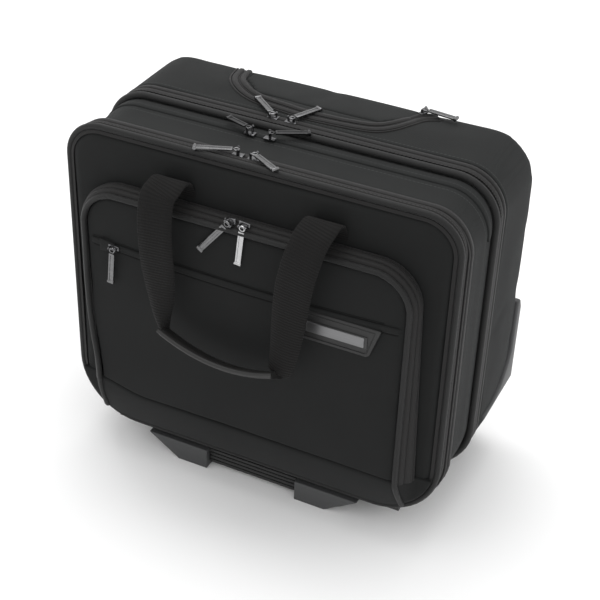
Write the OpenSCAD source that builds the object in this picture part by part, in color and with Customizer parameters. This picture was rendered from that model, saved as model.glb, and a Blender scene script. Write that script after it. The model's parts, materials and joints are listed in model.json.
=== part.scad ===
// Pilot rolling flight case: a two-wheeled business bag with a lid-like front section, a padded
// middle section, a deep rear compartment and a telescopic pull handle under a zipped flap.
// The bag faces -Y, +Z is up, and the origin is on the floor under the middle of its bounding box.
// Inside the modules y = 0 is the plane of the front panel; at_origin() moves it to the origin.

/* [Body] */
// Width across the rear body
case_w = 431; // [390:1:520]
// Height of the rear body's top above the floor
case_h = 389.4; // [360:0.2:480]
// Depth from the front panel to the back panel
case_d = 197; // [190:1:260]
// Height of the bag's underside above the floor
ride_h = 32.4; // [30:0.2:45]
// Thickness of the padded walls
wall_t = 4; // [3:0.5:6]
// Depth of the front section, which opens like a lid
lid_d = 16; // [14:1:30]
// Depth at which the middle section ends and the rear compartment's zip starts
middle_end = 99.2; // [90:0.2:105]
// Radius of the round cord piping
piping_r = 3.5; // [2.5:0.5:5]
// Gap between sections that move apart
section_gap = 0.4; // [0.3:0.1:1]

/* [Front pocket] */
// How far the front pocket stands out
pocket_d = 20; // [14:1:30]
// Width left between the pocket and the front panel's edge
pocket_margin = 24.5; // [20:0.5:40]
// Height of the kick panel under the pocket
kick_h = 54.6; // [30:0.2:70]
// Width of the webbing straps
strap_w = 38; // [30:1:45]
// Thickness of the webbing straps
strap_t = 2.5; // [2:0.5:4]

/* [Wheels and feet] */
// Wheel diameter
wheel_d = 64; // [50:1:78]
// Wheel width
wheel_w = 22; // [16:1:28]
// Axle diameter
axle_d = 8; // [6:1:12]
// Thickness of the rubber tyre
tyre_t = 8; // [5:1:10]
// Thickness of the base plate
base_t = 7; // [4:1:9]

/* [Pull handle] */
// Outside diameter of the fixed tubes
tube_d = 18; // [14:0.5:21]
// Wall of every handle tube
tube_wall = 1.1; // [0.8:0.1:1.5]
// Radial clearance between one tube and the next
tube_gap = 0.3; // [0.2:0.1:0.5]
// Distance between the two tube centres
tube_span = 132; // [110:1:136]

/* [Zips] */
// Length of a zip slider along its track
slider_l = 12; // [9:1:14]
// Width of a zip puller
puller_w = 8; // [6:1:10]
// Radius of the pin that a puller turns on
puller_pin_r = 0.8; // [0.6:0.1:1]

/* [Hidden] */

$fn = 48;
e = 0.01;
over = 2;

// Half widths and tops of the sections: the bag narrows a little towards the front
rear_hw = case_w / 2;
rear_top = case_h;
band_hw = rear_hw - 3.5;
band_top = rear_top - 3;
middle_hw = rear_hw - 6.5;
middle_top = rear_top - 7.4;
front_band_hw = rear_hw - 4;
front_band_top = rear_top - 3.4;
front_hw = rear_hw - 10.5;
front_top = rear_top - 4.8;
front_bottom = ride_h + 4;

// Corner radii
rear_top_r = 45;
rear_bottom_r = 60;
middle_top_r = 41;
front_top_r = 35;
front_bottom_r = 64;

// Depths of the bands
front_band_end = lid_d + 15;
rear_band_start = middle_end + section_gap;
rear_start = middle_end + 13.8;
divider_y = front_band_end + 13;
divider_t = 3;
lid_wall = 3;
middle_wall = 3;

// Extremes of the whole object in depth
grip_y = -50;
grip_w = 28;
grip_t = 10;
grip_tilt = 34;
rear_grip_y = case_d + 9;
rear_grip_t = 14;
front_most = grip_y - grip_w / 2 * cos(grip_tilt);
rear_most = rear_grip_y + rear_grip_t / 2;
centre_y = (front_most + rear_most) / 2;

// Colours
fabric = "#2b2b2c";
webbing_black = "#1c1b1b";
trim = "#343233";
plastic = "#464647";
rubber = "#1a1a1a";
metal = "#8b8d90";
gunmetal = "#55565a";

module at_origin() {
    translate([0, -centre_y, 0]) children();
}

// A rounded panel outline in the XZ plane
module outline(hw, zb, zt, rb, rt) {
    translate([-hw, zb + rb]) square([2 * hw, zt - zb - rb - rt]);
    translate([-hw + rt, zt - rt - e]) square([2 * (hw - rt), rt + e]);
    translate([-hw + rb, zb]) square([2 * (hw - rb), rb + e]);
    for (s = [-1, 1]) {
        translate([s * (hw - rt), zt - rt]) circle(rt);
        translate([s * (hw - rb), zb + rb]) circle(rb);
    }
}

// A plate from y0 to y1 with an outline in XZ
module slab(y0, y1) {
    translate([0, y1, 0]) rotate([90, 0, 0]) linear_extrude(y1 - y0) children();
}

// A plate from x0 to x1 with an outline in YZ
module side_slab(x0, x1) {
    translate([x0, 0, 0]) rotate([90, 0, 90]) linear_extrude(x1 - x0) children();
}

// A hoop of wall thickness t that follows a rounded outline
module hoop(hw, zb, zt, rb, rt, t, y0, y1) {
    difference() {
        slab(y0, y1) outline(hw, zb, zt, rb, rt);
        slab(y0 - over, y1 + over) outline(hw - t, zb + t, zt - t, rb - t, rt - t);
    }
}

// A tray: a hoop with one wall across it, at its low-y or high-y side
module tray(hw, zb, zt, rb, rt, t, y0, y1, back) {
    difference() {
        slab(y0, y1) outline(hw, zb, zt, rb, rt);
        slab(back ? y0 - over : y0 + t, back ? y1 - t : y1 + over)
            outline(hw - t, zb + t, zt - t, rb - t, rt - t);
    }
}

// One quarter of a bent cord in the XZ plane, starting at angle a0
module cord_bend(cx, y, cz, bend_r, r, a0) {
    translate([cx, y, cz]) rotate([90, 0, 0]) rotate([0, 0, a0])
        rotate_extrude(angle = 90) translate([bend_r, 0]) circle(r);
}

// Round cord piping along a rounded outline; an open loop stops at height zb on both sides
module cord_loop(r, hw, y, zb, zt, rb, rt, closed) {
    side_bottom = closed ? zb + rb : zb;
    translate([-(hw - rt), y, zt]) rotate([0, 90, 0]) cylinder(h = 2 * (hw - rt), r = r);
    cord_bend(hw - rt, y, zt - rt, rt, r, 0);
    cord_bend(-(hw - rt), y, zt - rt, rt, r, 90);
    for (s = [-1, 1])
        translate([s * hw, y, side_bottom]) cylinder(h = zt - rt - side_bottom, r = r);
    if (closed) {
        cord_bend(-(hw - rb), y, zb + rb, rb, r, 180);
        cord_bend(hw - rb, y, zb + rb, rb, r, 270);
        translate([-(hw - rb), y, zb]) rotate([0, 90, 0]) cylinder(h = 2 * (hw - rb), r = r);
    }
}

// Side faces that join rings of m points, and the two end caps
function sweep_faces(n, m) = concat(
    [[for (k = [m - 1:-1:0]) k]],
    [[for (k = [0:m - 1]) (n - 1) * m + k]],
    [for (i = [0:n - 2], k = [0:m - 1])
        [i * m + k, i * m + (k + 1) % m, (i + 1) * m + (k + 1) % m, (i + 1) * m + k]]);

// Flat webbing along a path that lies near a YZ plane, its width along X
module webbing(path, w, t) {
    n = len(path);
    ends = [for (i = [0:n - 1]) [path[max(i - 1, 0)], path[min(i + 1, n - 1)]]];
    runs = [for (p = ends) [p[1][1] - p[0][1], p[1][2] - p[0][2]]];
    normals = [for (d = runs) [0, -d[1], d[0]] / norm(d)];
    half = [w / 2, 0, 0];
    points = [for (i = [0:n - 1]) let (p = path[i], h = normals[i] * t / 2)
        each [p - half - h, p + half - h, p + half + h, p - half + h]];
    polyhedron(points, sweep_faces(n, 4), convexity = 4);
}

// A padded grip along X whose oval section is w wide and t thick, tilted by tilt
module grip_bar(path, w, t, tilt) {
    n = len(path);
    sides = 12;
    points = [for (p = path, k = [0:sides - 1])
        let (a = -360 * k / sides, u = cos(a) * w / 2, v = sin(a) * t / 2)
        p + [0, u * cos(tilt) + v * sin(tilt), -u * sin(tilt) + v * cos(tilt)]];
    polyhedron(points, sweep_faces(n, sides), convexity = 4);
}

// ---- Rear body, which carries everything else ----

// Outline of the corner guard that houses a wheel, in YZ
wheel_r = wheel_d / 2;
wheel_y = case_d - 21;
wheel_clear = 3.5;
guard_t = 5.5;
guard_out = rear_hw + 2;
guard_rear = case_d + 14;
wheel_x = rear_hw - 30.5 - wheel_w / 2;
guard_in = wheel_x - wheel_w / 2 - 1.5 - guard_t;
guard_front = wheel_y - wheel_r - 23;
guard_outline = [[guard_front, ride_h - 4], [guard_front, ride_h + 58.6],
                 [wheel_y - 27, ride_h + 58.6], [wheel_y - 3, ride_h + 65.6],
                 [wheel_y + 14, ride_h + 83], [case_d, ride_h + 96], [case_d, ride_h + 160],
                 [guard_rear - 6, ride_h + 160], [guard_rear, ride_h + 148],
                 [guard_rear, wheel_r + 43], [wheel_y + 30, wheel_r + 18],
                 [wheel_y + 19, wheel_r - 8], [wheel_y + 6, wheel_r - 13],
                 [wheel_y - 26, wheel_r - 13], [guard_front + 10, ride_h - 8]];

// Below this height the guard's outer face leans inwards, down to its foot
guard_taper_z = ride_h + 55.6;
guard_taper_in = 28;

// The flap over the pull handle, as an XY outline, and its hinge line
flap_hinge_y = case_d - 7.5;
flap_right = tube_span / 2 + 26;
flap_left = -tube_span / 2 - 31;
flap_outline = [[flap_left, flap_hinge_y], [flap_left + 2, case_d - 30],
                [flap_left + 15, case_d - 43], [flap_left + 36, case_d - 53],
                [flap_right - 46, case_d - 53], [flap_right - 26, case_d - 49],
                [flap_right - 11, case_d - 38], [flap_right - 6, case_d - 24],
                [flap_right, flap_hinge_y]];
flap_gap = 0.5;

tube_y = case_d - 19;
tube_bottom = ride_h + wall_t + 10;
tube_top = case_h - 39.4;

module guard_cut() {
    for (s = [0, 1]) mirror([s, 0, 0])
        side_slab(guard_in, guard_out + over) polygon(guard_outline);
}

module rear_shell() color(fabric) at_origin() difference() {
    tray(rear_hw, ride_h, rear_top, rear_bottom_r, rear_top_r, wall_t, rear_start, case_d, true);
    guard_cut();
    translate([0, 0, rear_top - wall_t - over]) linear_extrude(wall_t + 2 * over) {
        polygon(flap_outline);
        translate([flap_left - flap_gap, flap_hinge_y - 12])
            square([flap_right - flap_left + 2 * flap_gap, 12 + flap_gap]);
    }
}

module rear_zip_tape() color(trim) at_origin()
    hoop(band_hw, ride_h, band_top, rear_bottom_r, rear_top_r - 3, wall_t + 1,
         rear_band_start, rear_start);

flap_tape_w = 15;
flap_tape_t = 1;
flap_tape_outline = [[flap_left - flap_tape_w, flap_hinge_y - 4],
                     [flap_left - 13, case_d - 39], [flap_left - 3, case_d - 56],
                     [flap_left + 30, case_d - 74], [flap_right - 18, case_d - 73],
                     [flap_right - 2, case_d - 58], [flap_right + 8, case_d - 34],
                     [flap_right + 27, flap_hinge_y - 4]];

module flap_zip_tape() color(trim) at_origin()
    translate([0, 0, rear_top]) linear_extrude(flap_tape_t) difference() {
        polygon(flap_tape_outline);
        polygon(flap_outline);
        translate([flap_left - flap_gap, flap_hinge_y - 12])
            square([flap_right - flap_left + 2 * flap_gap, 12 + flap_gap]);
    }

base_hw = rear_hw - 46.5;
base_top = ride_h - section_gap;
base_z = base_top - base_t;
base_front = 12;
base_back = guard_front - 1;
screw_head_r = 3.5;
screw_head_h = 2.2;
screw_r = 2;
screw_places = [for (s = [-1, 1], y = [base_front + 45, base_back - 12]) [s * (base_hw - 19), y]];

module base_plate() color(plastic) at_origin() difference() {
    translate([-base_hw, base_front, base_z])
        cube([2 * base_hw, base_back - base_front, base_t]);
    for (p = screw_places)
        translate([p[0], p[1], base_z - over]) cylinder(h = base_t + 2 * over, r = screw_r);
}

module base_screws() color(gunmetal) at_origin() for (p = screw_places) {
    translate([p[0], p[1], base_z - screw_head_h]) cylinder(h = screw_head_h, r = screw_head_r);
    translate([p[0], p[1], base_z - e]) cylinder(h = base_t, r = screw_r);
}

foot_in = 53;
foot_bottom = 88.5;
foot_top = 126;
foot_front = 2;
foot_back = 30;

module front_feet() color(plastic) at_origin() for (s = [0, 1]) mirror([s, 0, 0])
    slab(foot_front, foot_back)
        polygon([[foot_in, 0], [foot_bottom, 0], [foot_top, base_z], [foot_in, base_z]]);

bar_front = 8;
bar_lift = 6;
rib_pitch = 4.5;
rib_d = 1.5;

module grab_bar() color(rubber) at_origin() difference() {
    translate([-foot_in, bar_front, bar_lift])
        cube([2 * foot_in, foot_back - 4 - bar_front, base_z - bar_lift]);
    for (k = [1:3]) translate([-foot_in - over, bar_front - over, bar_lift + k * rib_pitch])
        cube([2 * (foot_in + over), over + rib_d, rib_d]);
}

module wheel_housings() color(plastic) at_origin() for (s = [0, 1]) mirror([s, 0, 0])
    difference() {
        intersection() {
            side_slab(guard_in, guard_out) polygon(guard_outline);
            slab(guard_front - over, guard_rear + over)
                polygon([[guard_in - over, 0], [guard_out - guard_taper_in - 8, 0],
                         [guard_out - guard_taper_in, wheel_r - 13],
                         [guard_out + e, guard_taper_z], [guard_out + e, case_h],
                         [guard_in - over, case_h]]);
        }
        translate([guard_in + guard_t, wheel_y, wheel_r]) rotate([0, 90, 0])
            cylinder(h = wheel_w + 3, r = wheel_r + wheel_clear);
        translate([guard_in + guard_t, wheel_y, wheel_r - 30])
            cube([wheel_w + 3, wheel_r + wheel_clear, 30 + 10]);
        translate([guard_in - over, wheel_y, wheel_r]) rotate([0, 90, 0])
            cylinder(h = wheel_w + 3 + 2 * guard_t + over, r = axle_d / 2);
    }

module wheel_axles() color(metal) at_origin() for (s = [0, 1]) mirror([s, 0, 0])
    translate([guard_in, wheel_y, wheel_r]) rotate([0, 90, 0])
        cylinder(h = wheel_w + 3 + 2 * guard_t, r = axle_d / 2);

// ---- Wheels ----

hub_gap = 0.05;

module at_wheel(s) {
    translate([s * wheel_x - wheel_w / 2, wheel_y, wheel_r]) rotate([0, 90, 0]) children();
}

module tyre(s) at_wheel(s) difference() {
    cylinder(h = wheel_w, r = wheel_r);
    translate([0, 0, -over]) cylinder(h = wheel_w + 2 * over, r = wheel_r - tyre_t);
}

module hub(s) at_wheel(s) difference() {
    union() {
        difference() {
            cylinder(h = wheel_w, r = wheel_r - tyre_t);
            translate([0, 0, -over]) cylinder(h = wheel_w + 2 * over, r = wheel_r - tyre_t - 3);
        }
        translate([0, 0, wheel_w / 2 - 3]) cylinder(h = 6, r = wheel_r - tyre_t - 2);
        cylinder(h = wheel_w, r = axle_d / 2 + 4);
    }
    translate([0, 0, -over]) cylinder(h = wheel_w + 2 * over, r = axle_d / 2 + hub_gap);
}

module tyre_left() color(rubber) at_origin() tyre(-1);
module tyre_right() color(rubber) at_origin() tyre(1);
module hub_left() color(plastic) at_origin() hub(-1);
module hub_right() color(plastic) at_origin() hub(1);

// ---- Telescopic pull handle ----

tube_r1 = tube_d / 2;
tube_r2 = tube_r1 - tube_wall - tube_gap;
tube_r3 = tube_r2 - tube_wall - tube_gap;
grip_bottom = tube_top + 12;
grip_top = case_h - 7.4;
pull_grip_hw = tube_span / 2 + 12;
pull_grip_d = 20;
button_hw = 18;
button_d = 9;
button_h = 9;
button_travel = 3;
button_gap = 0.5;

module tube_pair(r, z0, z1) {
    for (s = [-1, 1]) translate([s * tube_span / 2, tube_y, z0]) difference() {
        cylinder(h = z1 - z0, r = r);
        translate([0, 0, -over]) cylinder(h = z1 - z0 + 2 * over, r = r - tube_wall);
    }
}

module handle_outer_tubes() color(metal) at_origin() tube_pair(tube_r1, tube_bottom, tube_top);
module handle_middle_tubes() color(metal) at_origin()
    tube_pair(tube_r2, tube_bottom + 6, tube_top + 5.5);
module handle_inner_tubes() color(metal) at_origin()
    tube_pair(tube_r3, tube_bottom + 12, grip_bottom);

bezel_t = 4;
collar_r = tube_r1 + 3;
collar_h = 14;

module handle_bezel() color(plastic) at_origin() difference() {
    union() {
        translate([-tube_span / 2 - 18, tube_y - 14, tube_top])
            cube([tube_span + 36, 14 + case_d - wall_t - tube_y, bezel_t]);
        for (s = [-1, 1]) translate([s * tube_span / 2, tube_y, tube_top - collar_h])
            cylinder(h = collar_h + e, r = collar_r);
    }
    for (s = [-1, 1]) translate([s * tube_span / 2, tube_y, 0]) {
        translate([0, 0, tube_top - collar_h - over]) cylinder(h = collar_h + over, r = tube_r1);
        cylinder(h = tube_top + bezel_t + over, r = tube_r2 + tube_gap);
    }
}

module handle_bracket() color(plastic) at_origin() difference() {
    translate([-tube_span / 2 - 16, tube_y - 13, ride_h + wall_t])
        cube([tube_span + 32, 13 + case_d - wall_t - tube_y, 18]);
    for (s = [-1, 1]) translate([s * tube_span / 2, tube_y, tube_bottom])
        cylinder(h = 18, r = tube_r1);
}

module pull_grip() color(plastic) at_origin() difference() {
    union() {
        translate([-pull_grip_hw + pull_grip_d / 2, tube_y - pull_grip_d / 2, grip_bottom])
            cube([2 * pull_grip_hw - pull_grip_d, pull_grip_d, grip_top - grip_bottom]);
        for (s = [-1, 1]) translate([s * (pull_grip_hw - pull_grip_d / 2), tube_y, grip_bottom])
            cylinder(h = grip_top - grip_bottom, r = pull_grip_d / 2);
    }
    translate([-button_hw - button_gap, tube_y - button_d / 2 - button_gap,
               grip_top - button_h - button_travel])
        cube([2 * (button_hw + button_gap), button_d + 2 * button_gap, 20]);
}

module release_button() color(metal) at_origin()
    translate([-button_hw, tube_y - button_d / 2, grip_top - button_h + 1.5])
        cube([2 * button_hw, button_d, button_h]);

module handle_flap() color(fabric) at_origin() translate([0, 0, rear_top - wall_t + 0.6])
    linear_extrude(wall_t - 0.6) difference() {
        polygon(flap_outline);
        for (s = [-1, 1]) translate([s > 0 ? flap_right - flap_gap : flap_left - 20, 0])
            square([20 + flap_gap, 2 * case_d]);
    }

// ---- Middle section ----

module middle_shell() color(fabric) at_origin()
    tray(middle_hw, ride_h, middle_top, rear_bottom_r, middle_top_r, middle_wall,
         front_band_end, middle_end, true);

module laptop_divider() color(fabric) at_origin()
    translate([-middle_hw + middle_wall, divider_y, ride_h + middle_wall + rear_bottom_r])
        cube([2 * (middle_hw - middle_wall), divider_t,
              middle_top - 60 - ride_h - middle_wall - rear_bottom_r]);

module front_zip_tape() color(trim) at_origin()
    hoop(front_band_hw, ride_h + 2, front_band_top, front_bottom_r - 4, front_top_r + 3,
         middle_wall + 2, lid_d + section_gap, front_band_end);

zip_y = 70;
zip_tape_w = 14;
zip_tape_t = 1.2;
zip_tape_end = 54;

module middle_zip_tape() color(trim) at_origin() difference() {
    slab(zip_y - zip_tape_w / 2, zip_y + zip_tape_w / 2)
        outline(middle_hw + zip_tape_t, ride_h, middle_top + zip_tape_t, rear_bottom_r,
                middle_top_r + zip_tape_t);
    slab(zip_y - zip_tape_w, zip_y + zip_tape_w)
        outline(middle_hw, ride_h, middle_top, rear_bottom_r, middle_top_r);
    translate([-case_w, 0, 0]) cube([2 * case_w, case_d, middle_top - zip_tape_end]);
}

rear_piping_y = 90;

module rear_piping() color(trim) at_origin()
    cord_loop(piping_r, middle_hw + piping_r, rear_piping_y, ride_h + rear_bottom_r + 10,
              middle_top + piping_r, 0, middle_top_r + piping_r, false);

// ---- Front section ----

front_piping_y = 6;

module front_shell() color(fabric) at_origin()
    tray(front_hw, front_bottom, front_top, front_bottom_r, front_top_r, lid_wall, 0, lid_d,
         false);

module front_piping() color(trim) at_origin()
    cord_loop(piping_r, front_hw + piping_r, front_piping_y, front_bottom - piping_r,
              front_top + piping_r, front_bottom_r + piping_r, front_top_r + piping_r, true);

pocket_hw = front_hw - pocket_margin;
pocket_face_hw = pocket_hw - 6;
pocket_bottom = ride_h + kick_h;
pocket_top = front_top - 50;
pocket_face_top = pocket_top - 6;
pocket_step = pocket_d / 2;
pocket_r = 45;
pocket_wall = 3;
pocket_foot_r = 3;

// The pocket sits a little to the left of the middle
module at_pocket() {
    translate([-3, 0, 0]) children();
}

module pocket_shell() color(fabric) at_origin() at_pocket() difference() {
    union() {
        slab(-pocket_step, 0)
            outline(pocket_hw, pocket_bottom, pocket_top, pocket_foot_r, pocket_r);
        slab(-pocket_d, -pocket_step + e)
            outline(pocket_face_hw, pocket_bottom, pocket_face_top, pocket_foot_r, pocket_r - 8);
    }
    slab(-pocket_d + pocket_wall, over)
        outline(pocket_face_hw - pocket_wall, pocket_bottom + pocket_wall,
                pocket_face_top - pocket_wall, pocket_foot_r, pocket_r - 8 - pocket_wall);
}

pocket_piping_r = 2.3;
pocket_tape_in = 5;
pocket_tape_y = -pocket_d + pocket_tape_in;
pocket_tape_out = 8.5;

module pocket_zip_tape() color(trim) at_origin() at_pocket() difference() {
    slab(pocket_tape_y, -pocket_step)
        outline(pocket_face_hw + pocket_tape_out, pocket_bottom,
                pocket_face_top + pocket_tape_out, pocket_foot_r,
                pocket_r - 8 + pocket_tape_out);
    slab(pocket_tape_y - over, -pocket_step + over)
        outline(pocket_face_hw, pocket_bottom - 20, pocket_face_top, pocket_foot_r, pocket_r - 8);
}

module pocket_piping() color(trim) at_origin() at_pocket()
    cord_loop(pocket_piping_r, pocket_face_hw + pocket_piping_r,
              pocket_tape_y - pocket_piping_r, pocket_bottom + pocket_foot_r,
              pocket_face_top + pocket_piping_r, 0, pocket_r - 8 + pocket_piping_r, false);

// The kick panel slopes from the pocket's full depth back to its toe at the bottom edge
kick_toe = 6;

module kick_panel() color(fabric) at_origin() intersection() {
    at_pocket() side_slab(-pocket_face_hw, pocket_face_hw)
        polygon([[0, front_bottom + 1], [0, pocket_bottom], [-pocket_d, pocket_bottom],
                 [-kick_toe, front_bottom + 1]]);
    slab(-pocket_d - over, over)
        outline(front_hw - 1, front_bottom, front_top, front_bottom_r, front_top_r);
}

slot_z = front_top - 107.6;
slot_h = 8;
slot_left = -150;
slot_right = 149;
trim_t = 1.5;

module slot_zip_tape() color(trim) at_origin()
    translate([slot_left, -pocket_d - trim_t, slot_z - slot_h])
        cube([slot_right - slot_left, trim_t, slot_h]);

badge_x = 101;
badge_h = 34;
badge_top_hw = 47;
badge_bottom_hw = 35;
plate_hw = 34;
plate_h = 13;
plate_t = 2;

module badge_patch() color(rubber) at_origin() slab(-pocket_d - trim_t, -pocket_d)
    translate([badge_x, slot_z - slot_h - badge_h])
        polygon([[-badge_bottom_hw, 0], [badge_bottom_hw, 0], [badge_top_hw, badge_h],
                 [-badge_top_hw, badge_h]]);

module nameplate() color(gunmetal) at_origin()
    slab(-pocket_d - trim_t - plate_t, -pocket_d - trim_t)
        translate([badge_x - plate_hw, slot_z - slot_h - 24]) square([2 * plate_hw, plate_h]);

// ---- Carry handles ----

// The webbing leaves the front panel above the pocket, folds over and hangs down.
// Heights are counted down from the fold, so the handle follows the bag's height.
fold_y = -22;
fold_z = front_top - 23;
anchor_left = [[-80, -1.5, fold_z - 18], [-80, -4, fold_z - 9], [-80, -9, fold_z - 1],
               [-80, -14.5, fold_z + 1.5], [-80, -18.5, fold_z + 1.5]];
anchor_right = [[81, -1.5, fold_z - 18], [81, -4, fold_z - 9], [81, -9, fold_z - 1],
                [81, -14.5, fold_z + 1.5], [81, -18.5, fold_z + 1.5]];
hang_left = [[-80, -22.5, fold_z], [-81, -30, fold_z - 5], [-82, -37, fold_z - 16],
             [-82, -42, fold_z - 35], [-81, -44, fold_z - 72], [-78, -46, fold_z - 108],
             [-76, -49, fold_z - 136], [-72, -50, fold_z - 147]];
hang_right = [[80, -22.5, fold_z], [79, -30, fold_z - 5], [77, -37, fold_z - 14],
              [73, -43, fold_z - 30], [66, -45, fold_z - 58], [62, -46, fold_z - 92],
              [59, -48, fold_z - 126], [53, -50, fold_z - 154]];
grip_left_x = -70;
grip_right_x = 53;
grip_left_z = fold_z - 150;
grip_right_z = fold_z - 160;
grip_sag = 14;

module strap_anchors() color(webbing_black) at_origin() {
    webbing(anchor_left, strap_w, strap_t);
    webbing(anchor_right, strap_w, strap_t);
}

module front_straps() color(webbing_black) at_origin() {
    webbing(hang_left, strap_w, strap_t);
    webbing(hang_right, strap_w, strap_t);
}

// Points along a grip that sags between its two ends
function sagging(x0, z0, x1, z1, y, sag, steps) = [for (i = [0:steps]) let (u = i / steps)
    [x0 + (x1 - x0) * u, y, z0 + (z1 - z0) * u - sag * 4 * u * (1 - u)]];

module front_grip() color(webbing_black) at_origin()
    grip_bar(sagging(grip_left_x - 5, grip_left_z, grip_right_x + 5, grip_right_z, grip_y,
                     grip_sag, 8), grip_w, grip_t, grip_tilt);

rear_fold_z = case_h - 37;
rear_strap_y = case_d + 4.4;
rear_hang = [[66, rear_strap_y, rear_fold_z], [64, rear_strap_y, rear_fold_z - 60],
             [56, rear_strap_y + 1.5, rear_fold_z - 118], [48, rear_grip_y, rear_fold_z - 140]];

module rear_straps() color(webbing_black) at_origin() for (s = [0, 1]) mirror([s, 0, 0])
    webbing(rear_hang, strap_w, strap_t);

module rear_grip() color(webbing_black) at_origin()
    grip_bar(sagging(-58, rear_fold_z - 140, 58, rear_fold_z - 140, rear_grip_y, 8, 8),
             24, rear_grip_t, 90);

// ---- Zip sliders and pullers ----

// Each zip: place of the slider, tilt of its face, direction of the puller, height of its pin,
// and the puller's length
up = 0;
facing_front = 90;
front_zip_y = lid_d + 5;
rear_zip_y = rear_start - 7;
pocket_zip_z = pocket_face_top + 9.4;
zip_front_left = [[-27, front_zip_y, front_band_top], up, 202, 7.4, 44];
zip_front_right = [[-10, front_zip_y, front_band_top], up, 330, 7.4, 38];
zip_middle_left = [[-40, zip_y, middle_top + zip_tape_t], up, 162, 7.8, 32];
zip_middle_right = [[-18, zip_y, middle_top + zip_tape_t], up, 29, 7.8, 40];
zip_rear_left = [[-33, rear_zip_y, band_top], up, 140, 5.6, 40];
zip_rear_right = [[-13, rear_zip_y, band_top], up, 65, 5.6, 38];
zip_pocket_left = [[-15, pocket_tape_y, pocket_zip_z], facing_front, 231, 6.8, 50];
zip_pocket_right = [[0.5, pocket_tape_y, pocket_zip_z], facing_front, 264, 6.8, 46];
zip_slot = [[-143, -pocket_d - trim_t, slot_z - slot_h / 2], facing_front, 265, 4.8, 44];
zip_flap = [[flap_right + 5, flap_hinge_y - 5.5, rear_top + flap_tape_t], up, 353, 4.8, 40];

slider_w = 8;
slider_h = 2.4;
slider_gap = 0.2;
eye_r = puller_pin_r + 1.2;
eye_gap = 0.35;
eye_hw = puller_w / 2 - 1.3;
post_in = eye_hw + 0.6;
post_t = 1.2;
tab_t = 1.6;

module on_zip(z) {
    translate(z[0]) rotate([z[1], 0, 0]) translate([0, 0, slider_gap]) children();
}

module zip_slider(z) color(gunmetal) at_origin() on_zip(z) {
    pin_h = z[3];
    translate([-slider_l / 2, -slider_w / 2, 0]) cube([slider_l, slider_w, slider_h]);
    rotate([0, 0, z[2]]) {
        for (s = [-1, 1]) translate([-1.3, s > 0 ? post_in : -post_in - post_t, slider_h - e])
            cube([2.6, post_t, pin_h - slider_h + 1.3]);
        translate([0, -post_in - e, pin_h]) rotate([-90, 0, 0])
            cylinder(h = 2 * (post_in + e), r = puller_pin_r);
    }
}

module zip_puller(z) color(gunmetal) at_origin() on_zip(z) {
    pin_h = z[3];
    length = z[4];
    end_r = puller_w / 2;
    rotate([0, 0, z[2]]) difference() {
        union() {
            translate([0, -eye_hw, pin_h]) rotate([-90, 0, 0])
                cylinder(h = 2 * eye_hw, r = eye_r);
            translate([0, 0, pin_h - tab_t / 2]) linear_extrude(tab_t) {
                translate([0, -eye_hw]) square([6, 2 * eye_hw]);
                translate([4.5, -end_r]) square([length - end_r - 4.5, puller_w]);
                translate([length - end_r, 0]) circle(end_r);
            }
        }
        translate([0, -eye_hw - over, pin_h]) rotate([-90, 0, 0])
            cylinder(h = 2 * (eye_hw + over), r = puller_pin_r + eye_gap);
        translate([9, -end_r / 2, pin_h - over])
            cube([length - 22, end_r, 2 * over]);
    }
}

rear_shell();
rear_zip_tape();
flap_zip_tape();
base_plate();
front_feet();
grab_bar();
wheel_housings();
wheel_axles();
base_screws();
handle_outer_tubes();
handle_bezel();
handle_bracket();
tyre_left();
tyre_right();
hub_left();
hub_right();
handle_middle_tubes();
handle_inner_tubes();
pull_grip();
release_button();
handle_flap();
middle_shell();
laptop_divider();
front_zip_tape();
middle_zip_tape();
rear_piping();
front_shell();
front_piping();
pocket_shell();
pocket_piping();
pocket_zip_tape();
kick_panel();
slot_zip_tape();
badge_patch();
nameplate();
strap_anchors();
front_straps();
front_grip();
rear_straps();
rear_grip();
zip_slider(zip_front_left);  // front_slider_left
zip_slider(zip_front_right);  // front_slider_right
zip_slider(zip_middle_left);  // middle_slider_left
zip_slider(zip_middle_right);  // middle_slider_right
zip_slider(zip_rear_left);  // rear_slider_left
zip_slider(zip_rear_right);  // rear_slider_right
zip_slider(zip_pocket_left);  // pocket_slider_left
zip_slider(zip_pocket_right);  // pocket_slider_right
zip_slider(zip_slot);  // slot_slider
zip_slider(zip_flap);  // flap_slider
zip_puller(zip_front_left);  // front_puller_left
zip_puller(zip_front_right);  // front_puller_right
zip_puller(zip_middle_left);  // middle_puller_left
zip_puller(zip_middle_right);  // middle_puller_right
zip_puller(zip_rear_left);  // rear_puller_left
zip_puller(zip_rear_right);  // rear_puller_right
zip_puller(zip_pocket_left);  // pocket_puller_left
zip_puller(zip_pocket_right);  // pocket_puller_right
zip_puller(zip_slot);  // slot_puller
zip_puller(zip_flap);  // flap_puller
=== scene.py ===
# %% [markdown]
# # A rolling pilot case
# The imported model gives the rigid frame: where every part is and how it moves. This lesson dresses
# it: padded fabric panels, corded seams, zips, webbing, moulded corners and studio light.

# %% Load the frame
import bpy
import json
import math
from mathutils import Vector, Matrix

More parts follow.
